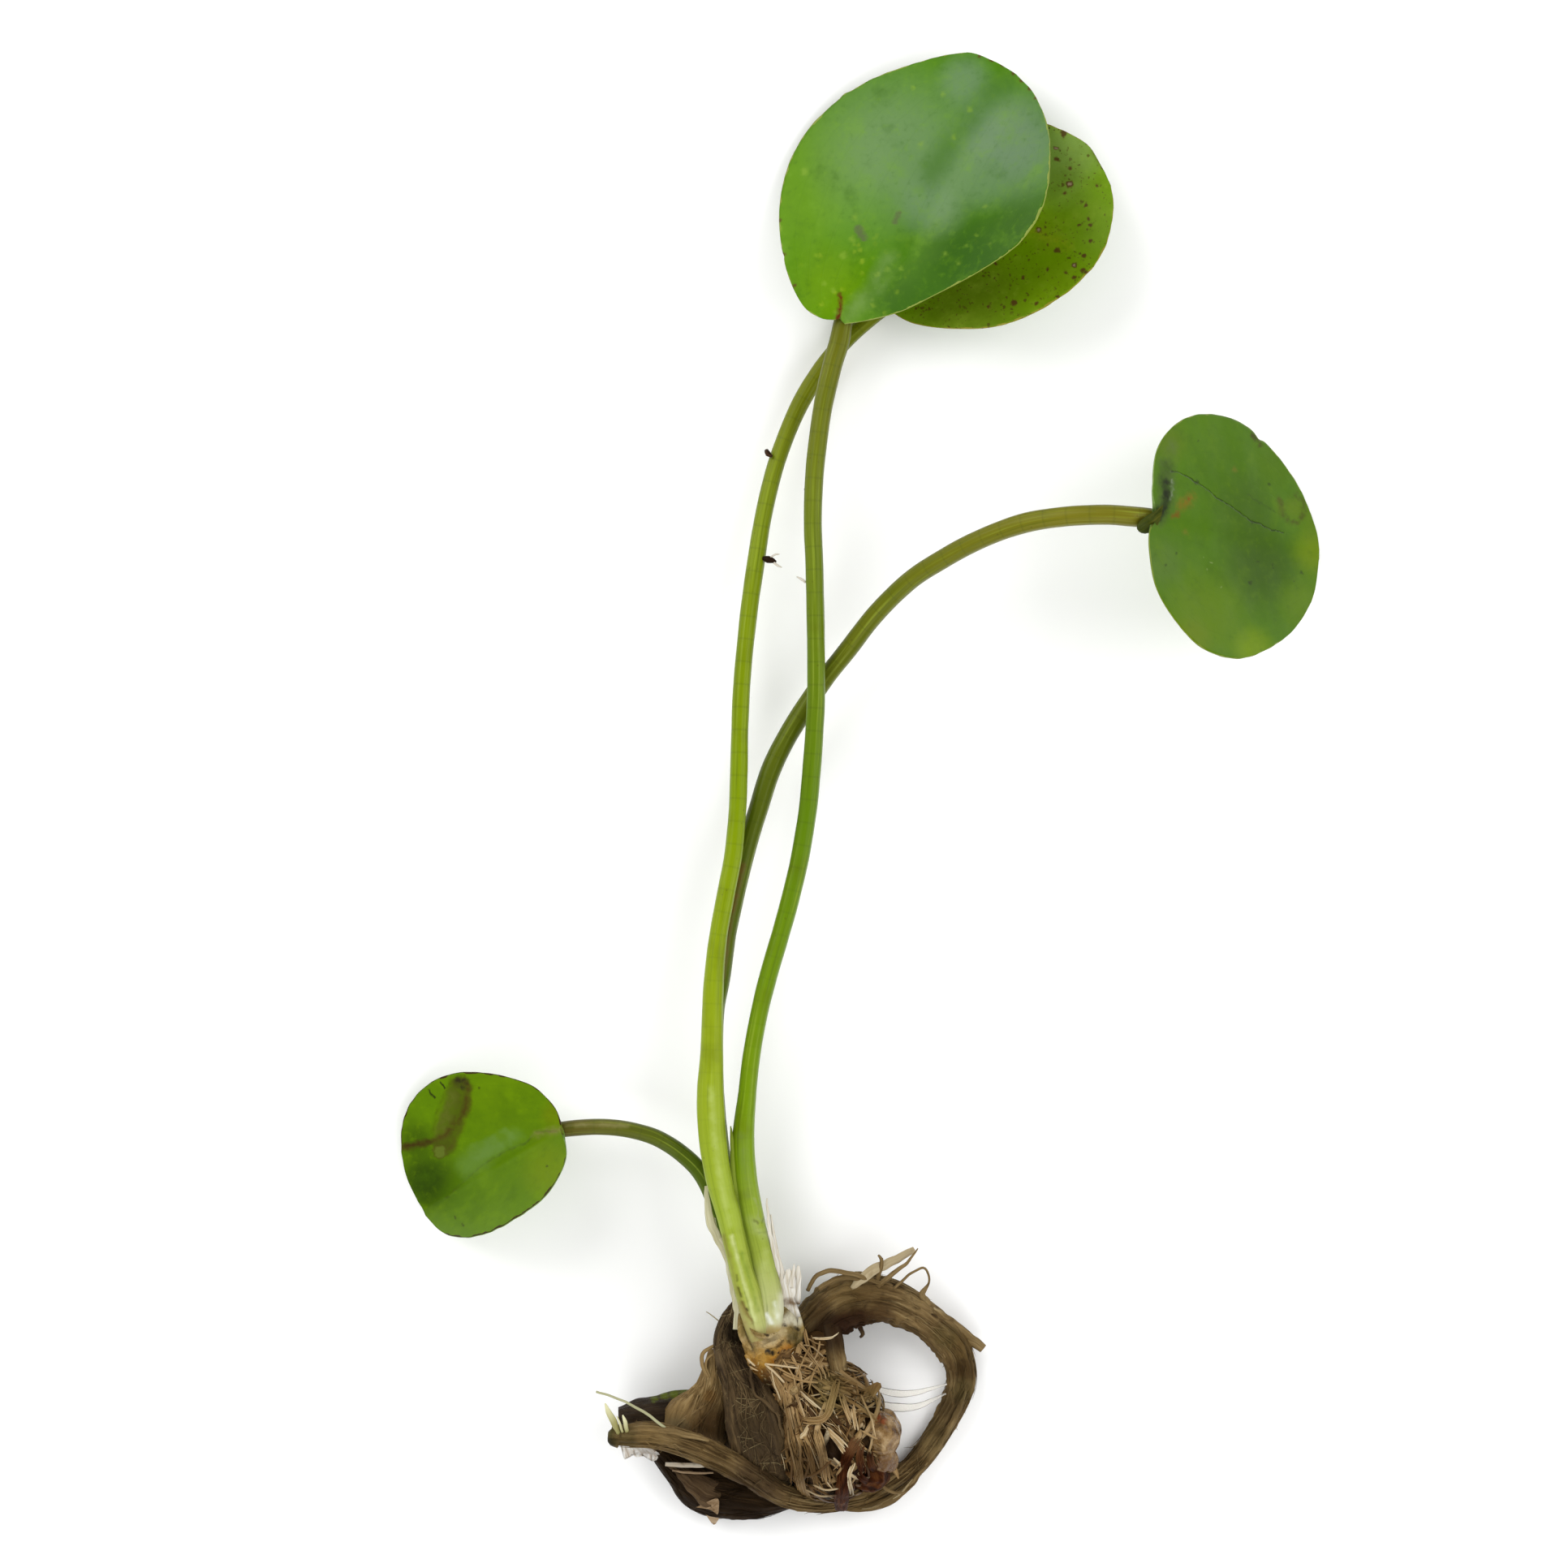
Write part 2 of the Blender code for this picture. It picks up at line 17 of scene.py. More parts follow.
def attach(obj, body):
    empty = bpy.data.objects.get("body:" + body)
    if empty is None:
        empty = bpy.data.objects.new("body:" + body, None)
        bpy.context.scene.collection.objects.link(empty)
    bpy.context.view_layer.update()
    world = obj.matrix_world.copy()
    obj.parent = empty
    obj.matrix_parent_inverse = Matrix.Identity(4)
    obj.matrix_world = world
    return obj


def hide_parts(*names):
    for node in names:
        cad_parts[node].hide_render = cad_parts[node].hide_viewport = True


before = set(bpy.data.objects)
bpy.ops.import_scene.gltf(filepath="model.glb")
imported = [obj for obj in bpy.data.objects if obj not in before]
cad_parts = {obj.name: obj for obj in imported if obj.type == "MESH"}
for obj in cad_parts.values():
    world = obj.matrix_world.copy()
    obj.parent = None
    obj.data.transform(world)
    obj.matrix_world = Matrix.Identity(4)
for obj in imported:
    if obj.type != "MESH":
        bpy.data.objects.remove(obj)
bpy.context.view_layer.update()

bl_info = {
    "name": "Water poppy",
    "version": (1, 0, 0),
    "blender": (4, 5, 0),
    "location": "View3D > Sidebar > Water poppy",
    "description": "Leaves, stalks, crown and roots of a water poppy laid out on a table",
    "category": "Add Mesh",
}

MM = 0.001
UP = np.array([0.0, 0.0, 1.0])
LOWEST = 0.05  # no piece goes lower than this above the table

# The camera looks straight down, and sees this much of the table across, in mm
PHOTO_WIDTH = 386.4
CAMERA_HEIGHT = 1500.0
CAMERA_X, CAMERA_Y = -20.3, 1.8

# Refractive index of water, of a thin membrane, of a cell wall and of tissue full of water
WATER_IOR, MEMBRANE_IOR, WALL_IOR, FLESH_IOR = 1.33, 1.34, 1.4, 1.42


def linear(hex_colour):
    """The linear red, green and blue of an sRGB hex colour."""
    channels = [int(hex_colour[i:i + 2], 16) / 255 for i in (1, 3, 5)]
    return tuple(c / 12.92 if c <= 0.04045 else ((c + 0.055) / 1.055) ** 2.4 for c in channels)


# Each leaf: base and tip of the midrib (x, y, height), sway of the midrib, width over which its
# valley is rounded, rise to the left and to the right (slope in degrees at the midrib and at the
# margin, width), and the margins from above.
# A nick in a margin is x, y, radius, and how far it stands out
LEAVES = {
    "leaf_front": {
        "base": (-6.5, 116, 15.5), "tip": (36.5, 175.5, 10.5), "sway": 1.9, "valley": 5.0,
        "rise": ((-10, -30, 33), (30, 58, 25)),
        "nicks": [(-5, 171, 1, 0.5), (38.6, 173, 0.9, -0.5), (-20.6, 131, 0.8, -0.3)],
        "left": [(-8, 115), (-11.5, 115.5), (-16, 119), (-20, 128.5), (-21.5, 142), (-19, 154.5),
                 (-12.5, 165), (-1.5, 173.5), (11.5, 178.5), (24, 181), (30.5, 179), (34.8, 176.6)],
        "right": [(-5.5, 114), (1, 115), (8.5, 117), (16, 120.5), (28, 126.5), (37.5, 133.5), (43, 144.5),
                  (44, 160), (41, 170), (38, 173.9)],
    },
    "leaf_behind": {
        "base": (5.5, 119.5, 8), "tip": (58, 151.5, 13), "sway": 0.0, "valley": 2.5,
        "rise": ((-14, -8, 27), (20, 38, 24)),
        "left": [(4, 121), (-1, 126.5), (-3, 135.5), (-0.5, 146), (7, 155.5), (18.5, 163), (31.5, 166.5),
                 (44, 163.5), (53.5, 158.5), (57, 153)],
        "right": [(6, 117.5), (11.5, 114.5), (21, 113), (32.5, 113.5), (43.5, 118), (52.5, 125),
                  (58, 133), (60, 142), (59.5, 148)],
    },
    "leaf_right": {
        "base": (69, 65.5, 44.6), "tip": (111.5, 58.5, 1.2), "sway": 0.0, "valley": 3.0,
        "rise": ((-22, -26, 30), (26, 36, 30)),
        "nicks": [(95.6, 86.6, 1.1, -0.9), (111.4, 56.2, 0.8, -0.5), (67.2, 74.5, 1.2, -0.4)],
        "left": [(69.2, 66.8), (68.3, 69), (67.9, 73), (69, 81.5), (72.5, 87), (77.5, 90.5), (84, 91.5),
                 (92, 89.5), (100, 83), (106.5, 74.5), (110.5, 65), (111.5, 59.5)],
        "right": [(68.9, 64.6), (67.2, 62.4), (67, 57), (68.5, 48.5), (73, 41), (79.5, 34.5), (88, 32),
                  (96, 34), (104, 39.5), (109.5, 47.5), (111.5, 57)],
    },
    "leaf_small": {
        "base": (-75, -82, 16), "tip": (-109.5, -102.5, 0.8), "sway": 0.0, "valley": 1.6,
        "rise": ((46, 60, 14), (6, -8, 26)),
        "left": [(-74.5, -83.5), (-73.5, -86.2), (-73.4, -89.2), (-74.9, -93.2), (-78, -97.8),
                 (-82.5, -101.6), (-87.5, -104.8), (-92, -107.1), (-98, -108.7), (-104, -108),
                 (-108.5, -104.5)],
        "right": [(-75, -80.6), (-75.9, -77.6), (-78.3, -74.6), (-82.5, -71.4), (-91.5, -69), (-101, -69),
                  (-108.5, -72.5), (-113, -78.5), (-114.5, -86), (-113.5, -94), (-110.5, -101)],
    },
}

# Tube routes: each station is x, y, z, half width across and half height
STALKS = {
    "stalk_front": [
        (-23.2, -134, 18.4, 2.4, 3), (-23.5, -129, 18.6, 3.2, 3), (-24.2, -122, 18.6, 3.5, 2.8),
        (-26, -113.6, 18, 3.2, 2.6), (-28.3, -103.7, 18, 3.1, 2.7), (-29.8, -93.8, 18, 2.9, 2.7),
        (-30.2, -84, 18, 2.7, 2.6), (-29.3, -74.1, 18, 2.25, 2.3), (-28.2, -64.2, 18, 2.15, 2.2),
        (-26.4, -54.3, 18, 2.15, 2.2), (-24, -44.4, 18, 2.2, 2.2), (-21.1, -34.6, 18, 2.25, 2.2),
        (-18.4, -24.7, 18, 2.25, 2.2), (-16.2, -14.8, 18, 2.25, 2.2), (-14.6, -4.9, 18, 2.25, 2.2),
        (-13.6, 5, 18, 2.25, 2.2), (-12.9, 14.8, 18, 2.25, 2.2), (-12.5, 24.7, 18, 2.2, 2.2),
        (-12.6, 38.6, 18, 2.2, 2.2), (-12.9, 54.4, 17.5, 2.2, 2.2), (-13.3, 64.3, 17, 2.2, 2.2),
        (-13.1, 74.2, 16.3, 2.25, 2.2), (-12.2, 84.1, 15.7, 2.3, 2.25), (-10.8, 94.1, 14.8, 2.35, 2.3),
        (-8.5, 104.1, 13.4, 2.45, 2.3), (-6.8, 110, 12.6, 2.5, 2.2), (-5.4, 116.4, 12.6, 2.2, 1.9),
        (-3, 119.5, 13.2, 1.6, 1.3),
    ],
    "stalk_behind": [
        (-26, -134, 18.6, 2.6, 3), (-27.2, -129, 19.6, 3.1, 2.9), (-29, -122, 20.4, 3.2, 2.8),
        (-31, -115.3, 21, 2.8, 2.6), (-33.7, -103.5, 21, 2.9, 2.7), (-36.3, -93.6, 21, 3.2, 2.9),
        (-37.7, -83.8, 21, 3.4, 2.9), (-38.2, -73.9, 21, 3.3, 2.9), (-37.9, -64.1, 20.5, 2.8, 2.6),
        (-37.7, -54.2, 20, 2.6, 2.5), (-37.3, -44.4, 19.6, 2.4, 2.4), (-36.2, -34.5, 19, 2.25, 2.3),
        (-34.4, -24.7, 18.2, 2.2, 2.2), (-32.6, -14.8, 17.4, 2.2, 2.2), (-31.7, -4.9, 16.5, 2.15, 2.2),
        (-31.3, 5, 15.6, 2.15, 2.15), (-31.1, 14.9, 14.5, 2.1, 2.1), (-30.7, 24.8, 13.5, 2.1, 2.1),
        (-29.9, 34.7, 12.5, 2.1, 2.1), (-28.8, 44.7, 11.6, 2.15, 2.1), (-27.4, 54.6, 10.6, 2.2, 2.15),
        (-25.9, 64.6, 9.5, 2.1, 2.1), (-23.8, 74.6, 8.4, 2.1, 2.1), (-20.8, 84.6, 7.1, 2.1, 2.1),
        (-16.6, 94.6, 6, 2.15, 2.1), (-11.4, 103.3, 5, 2.2, 2.1), (-6.1, 109.9, 4.7, 2.1, 2),
        (-0.6, 115, 4.7, 2, 1.9), (6.3, 120.3, 5, 1.9, 1.7), (9.5, 122.4, 5.6, 1.4, 1.2),
    ],
    "stalk_right": [
        (-24.8, -133.5, 12.4, 2.4, 2.4), (-27.4, -116, 11.8, 2.4, 2.4), (-31.6, -104.1, 11.8, 2.4, 2.4),
        (-34.7, -94.1, 12, 2.4, 2.4), (-36.6, -82.2, 13.2, 2.4, 2.4), (-37.5, -68.3, 14, 2.4, 2.4),
        (-37.3, -54.5, 14, 2.4, 2.4), (-35.7, -44.6, 13.7, 2.4, 2.4), (-34.3, -34.7, 13.3, 2.4, 2.4),
        (-32.2, -24.8, 12.9, 2.4, 2.4), (-29.8, -14.9, 12.4, 2.4, 2.4), (-26.8, -4.9, 12, 2.4, 2.4),
        (-23.6, 5, 12, 2.45, 2.4), (-19.8, 12.9, 12, 2.45, 2.4), (-14.7, 21.2, 12, 2.4, 2.4),
        (-10, 28, 12.4, 2.3, 2.3), (-4.6, 34.8, 14.2, 2.3, 2.3), (2.2, 43.4, 17.8, 2.3, 2.3),
        (10, 51, 22.2, 2.3, 2.3), (17.8, 56.1, 26.6, 2.35, 2.3), (27.5, 61.1, 32, 2.35, 2.3),
        (37, 64.4, 37.2, 2.4, 2.3), (46.6, 65.9, 41, 2.4, 2.3), (56.2, 66.3, 43.2, 2.4, 2.3),
        (62.6, 65.9, 43.4, 2.45, 2.3), (66.3, 65.6, 42.2, 2.45, 2.1), (68.9, 65.4, 40.2, 2.2, 2),
        (71.5, 65.1, 38.4, 1.6, 1.3),
    ],
    "stalk_small": [
        (-28.6, -134.5, 15.8, 1.7, 1.7), (-31.4, -120.8, 16.1, 1.7, 1.7), (-34, -110, 15.6, 1.85, 1.8),
        (-37, -101.1, 14.6, 2, 1.9), (-39.2, -95.6, 14.1, 2.1, 2), (-41.7, -91.8, 13.7, 2.15, 2),
        (-45.3, -88.5, 13, 2.1, 2), (-49.2, -85.8, 13.4, 2.05, 2), (-53.2, -83.9, 13.8, 2, 1.9),
        (-59.1, -82.4, 14.3, 1.98, 1.9), (-65.1, -81.9, 14, 1.98, 1.9), (-71, -82.2, 13.2, 1.98, 1.8),
        (-76.4, -83, 12.3, 1.9, 1.7), (-79.5, -84.4, 12, 1.4, 1.1),
    ],
}

CROWN = [
    (-21.6, -146, 15, 3, 3), (-22.2, -143, 15.2, 5.6, 5.4), (-22.9, -138.5, 16, 6.9, 6.9),
    (-23.4, -134, 16.4, 7.3, 6.2), (-23.6, -130.5, 16.5, 7.4, 4.4), (-24.2, -127, 16.5, 6.2, 2.8),
    (-24.8, -124.5, 16.5, 4.2, 1.6),
]
RUNNER = [
    (-14.5, -132.5, 10, 5, 3.4), (-9.5, -127.5, 10.5, 6, 3.5), (-3.5, -124.5, 10.5, 6.4, 3.5),
    (5.5, -124.8, 9.5, 5.4, 3.2), (14.4, -129.6, 7.5, 4.3, 2.8), (21, -136.2, 5.5, 4, 2.4),
    (23.3, -143, 4.2, 3.5, 2.2), (22.3, -148.6, 3.4, 3.2, 2), (19, -155.4, 2.8, 2.9, 2),
    (14.6, -162.2, 2.6, 2.8, 1.9), (10.4, -167, 2.6, 2.6, 1.8), (4, -171.2, 3.2, 2.5, 1.7),
    (-3, -173.4, 4.6, 2.4, 1.7), (-11.5, -174.4, 7.5, 2.4, 1.7), (-20.5, -172, 12, 2.6, 1.8),
    (-27.5, -167.2, 16.5, 2.8, 1.9), (-34.5, -163, 19, 3, 2), (-42, -159.5, 19.5, 3.1, 2),
    (-51, -157, 18, 3, 2), (-59, -157, 16, 2.6, 1.9), (-62, -157, 15.2, 2.3, 1.7),
]
DEAD_STALK_DARK = [
    (-31.8, -124.4, 13.4, 0.8, 1), (-32.6, -127, 14, 2, 1.7), (-33.6, -130.6, 14.4, 3, 2.2),
    (-34, -135.3, 14.6, 3.5, 2.5), (-32, -140.5, 16.4, 4.6, 2.8), (-29.6, -145.6, 17.5, 5.6, 3),
    (-27, -155.5, 18, 7, 3.2), (-24.4, -165, 13, 6.8, 3), (-22.4, -170.6, 8.5, 4.6, 2.2),
]
DEAD_STALK_TAN = [
    (-37.2, -136.5, 11.5, 1.5, 1.4), (-37.9, -145.8, 13.5, 4.1, 2.5), (-41.3, -153.2, 13.2, 7.4, 3),
    (-42.8, -158.6, 10.5, 7.4, 2.6),
]
OLD_RHIZOME = [
    (-33, -152, 8, 5, 4.8), (-42, -152, 8.2, 5, 5), (-50, -152.6, 8.4, 4.6, 4.6),
    (-56.5, -153.2, 8.5, 3.9, 4), (-60.8, -153.4, 8.5, 2.6, 2.8),
]
DEAD_LEAF_BASE = [
    (-53, -160, 5, 1.8, 3), (-46, -165.5, 5.5, 4.7, 4.5), (-40, -169.2, 5.1, 7.7, 5),
    (-33, -170.6, 5.2, 8, 5.1), (-25, -172, 5.5, 6.4, 5), (-17, -173, 4.5, 2.6, 3.6),
]
SHEATH_LEFT = [
    (-37.4, -103.8, 18.6, 0.4, 0.2), (-36.6, -107.5, 18.6, 0.6, 0.25), (-33.9, -112, 18.4, 0.6, 0.3),
    (-32.4, -118.5, 18.2, 0.8, 0.3), (-31.3, -125, 18.2, 1.1, 0.35), (-31.3, -131, 17.9, 1.5, 0.4),
]
SHEATH_RIGHT = [
    (-23.5, -103, 18.2, 0.2, 0.15), (-22.4, -110.5, 18.4, 0.5, 0.25), (-21.1, -116.5, 18.6, 0.8, 0.3),
    (-19.7, -122.5, 18.2, 1.5, 0.4), (-18.5, -128.5, 16.8, 2.2, 0.5), (-18.1, -132.5, 15.5, 2, 0.5),
]
ROOT_LEFT = [
    (-66, -146, 19, 0.3, 0.3), (-60, -148, 19.5, 0.3, 0.3), (-53.5, -151.5, 19.8, 0.35, 0.35),
    (-48.9, -155.2, 19.2, 0.35, 0.3),
]
ROOT_UPPER = [
    (-3.8, -121.2, 13.2, 0.5, 0.3), (-2, -119.6, 14, 1.1, 0.4), (1, -117.2, 14, 1.3, 0.5),
    (6, -114.9, 12.5, 1.1, 0.4), (11.6, -112, 11, 0.8, 0.4),
]
MASS_CENTRE = np.array([-9.0, -156.5, 10.5])
MASS_RADII = np.array([14.2, 17.2, 13.2])


def smooth_line(points, spacing):
    """Rows about spacing apart on one smooth curve. A row is x, y, z and anything that goes with it."""
    points = np.asarray(points, float)
    ends = np.vstack([points[:1], points, points[-1:]])
    rows = []
    for a, b, c, d in zip(ends, ends[1:], ends[2:], ends[3:]):
        steps = max(1, round(np.linalg.norm((c - b)[:3]) / spacing))
        t = np.arange(steps)[:, None] / steps
        bend = (2 * a - 5 * b + 4 * c - d) * t**2 + (3 * b - a - 3 * c + d) * t**3
        rows.append((2 * b + (c - a) * t + bend) / 2)
    return np.vstack([*rows, points[-1:]])


def unit(vectors):
    return vectors / np.maximum(np.linalg.norm(vectors, axis=-1, keepdims=True), 1e-9)


def run_length(points):
    """Distance from the first point to each point, along the line."""
    steps = np.linalg.norm(np.diff(points, axis=0), axis=1)
    return np.concatenate([[0.0], np.cumsum(steps)])


def rough(points, size, seed=0.0):
    """Smooth noise from -1 to 1 at each point, with lumps about size across."""
    shift = Vector((seed * 7.31, seed * 3.17, seed * 5.71))
    flat = np.asarray(points, float).reshape(-1, 3) / size
    values = [noise.noise(Vector(p) + shift) for p in flat]
    return np.array(values).reshape(np.shape(points)[:-1])


class Shape:
    """Points and faces gathered for one mesh, with what the material reads at each point.

    grain is a place in the tissue in mm, with its third number along the fibres.
    tone is a number from 0 to 1: along a stalk, or the shade of one root.
    """

    def __init__(self):
        self.points, self.faces, self.grain, self.tone, self.slots = [], [], [], [], []
        self.size = 0

    def add(self, points, faces, grain, tone, slots=None):
        self.points.append(points)
        self.grain.append(grain)
        self.tone.append(np.broadcast_to(tone, len(points)))
        self.faces += [[self.size + i for i in face] for face in faces]
        self.slots += slots or [0] * len(faces)
        self.size += len(points)

    def add_rings(self, rings, grain, tone, slots=None):
        """A closed body through rings of points: rings is rows by sides by 3."""
        rows, sides = rings.shape[:2]
        index = np.arange(rows * sides).reshape(rows, sides)
        beside = np.roll(index, -1, axis=1)
        quads = np.stack([index[:-1], beside[:-1], beside[1:], index[1:]], axis=-1).reshape(-1, 4)
        points = np.vstack([rings.reshape(-1, 3), rings[0].mean(0), rings[-1].mean(0)])
        grain = np.vstack([grain.reshape(-1, 3), grain[0].mean(0), grain[-1].mean(0)])
        tone = np.broadcast_to(np.asarray(tone, float).reshape(-1, 1), (rows, sides)).reshape(-1)
        tone = np.concatenate([tone, tone[:1], tone[-1:]])
        first, last = rows * sides, rows * sides + 1
        faces = quads.tolist()
        faces += [[first, beside[0, k], index[0, k]] for k in range(sides)]
        faces += [[last, index[-1, k], beside[-1, k]] for k in range(sides)]
        if slots is not None:
            slots = np.tile(slots, rows - 1).tolist() + [0] * (2 * sides)
        self.add(points, faces, grain, tone, slots)

    def make(self, name, finishes, node=None):
        """Makes the piece, which rides on the plant and may stand for a CAD node."""
        points = np.vstack(self.points)
        points[:, 2] = np.maximum(points[:, 2], LOWEST)
        mesh = bpy.data.meshes.new(name)
        mesh.from_pydata((points * MM).tolist(), [], self.faces)
        mesh.polygons.foreach_set("material_index", self.slots)
        grain = mesh.attributes.new("grain", "FLOAT_VECTOR", "POINT")
        grain.data.foreach_set("vector", np.vstack(self.grain).astype(np.float32).ravel())
        tone = mesh.attributes.new("tone", "FLOAT", "POINT")
        tone.data.foreach_set("value", np.concatenate(self.tone).astype(np.float32))
        builder = bmesh.new()
        builder.from_mesh(mesh)
        bmesh.ops.recalc_face_normals(builder, faces=builder.faces)
        builder.to_mesh(mesh)
        builder.free()
        mesh.shade_smooth()
        for finish in finishes:
            mesh.materials.append(finish.material)
        piece = bpy.data.objects.new(name, mesh)
        bpy.context.scene.collection.objects.link(piece)
        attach(piece, "root")
        if node:
            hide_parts(node)


class Route:
    """A tube's middle line with its frame and its half sizes at every ring."""

    def __init__(self, stations, spacing):
        rows = smooth_line(stations, spacing)
        self.middle, self.half = rows[:, :3], np.maximum(rows[:, 3:5], 0.05)
        self.along = run_length(self.middle)
        self.onward = unit(np.gradient(self.middle, axis=0))
        self.across = unit(np.cross(self.onward, UP))
        self.lift = np.cross(self.across, self.onward)

    def rings(self, sides, swell=None):
        """Rings and their grain. swell(grain, angle) is the share by which the radius grows."""
        angle = np.linspace(0, 2 * math.pi, sides, endpoint=False)
        c, s = np.cos(angle)[None, :, None], np.sin(angle)[None, :, None]
        width, height = self.half[:, None, :1], self.half[:, None, 1:]
        along = np.broadcast_to(self.along[:, None, None], (len(self.along), sides, 1))
        grain = np.concatenate([width * c, height * s, along], axis=-1)
        grow = 1.0 if swell is None else 1.0 + swell(grain, angle)[..., None]
        out = self.across[:, None] * width * c + self.lift[:, None] * height * s
        return self.middle[:, None] + out * grow, grain

    def at(self, along, angle, proud):
        """Points on the surface and the way out of it, at distances along and angles around."""
        middle, across, lift, half = [
            np.stack([np.interp(along, self.along, column) for column in part.T], axis=-1)
            for part in (self.middle, self.across, self.lift, self.half)]
        out = across * (half[:, :1] * np.cos(angle)[:, None])
        out = out + lift * (half[:, 1:] * np.sin(angle)[:, None])
        way = unit(out)
        return middle + out + way * np.reshape(proud, (-1, 1)), way


def add_strand(shape, points, outward, half_width, half_height, tone, sides=6):
    """A thin flat strand through points. Its flat side faces outward."""
    onward = unit(np.gradient(points, axis=0))
    across = unit(np.cross(onward, outward))
    lift = np.cross(across, onward)
    angle = np.linspace(0, 2 * math.pi, sides, endpoint=False)
    c, s = np.cos(angle)[None, :, None], np.sin(angle)[None, :, None]
    width = np.broadcast_to(half_width, len(points))[:, None, None]
    height = np.broadcast_to(half_height, len(points))[:, None, None]
    rings = points[:, None] + across[:, None] * width * c + lift[:, None] * height * s
    along = np.broadcast_to(run_length(points)[:, None, None], (len(points), sides, 1))
    grain = np.concatenate([width * c, height * s, along], axis=-1)
    shape.add_rings(rings, grain, tone)


def taper(count, blunt=0.25):
    """Shares of the full width from one end of a strand to the other, thin at both ends."""
    t = np.linspace(0, 1, count)
    return blunt + (1 - blunt) * np.clip(np.minimum(t, 1 - t) * 6, 0, 1) ** 0.5


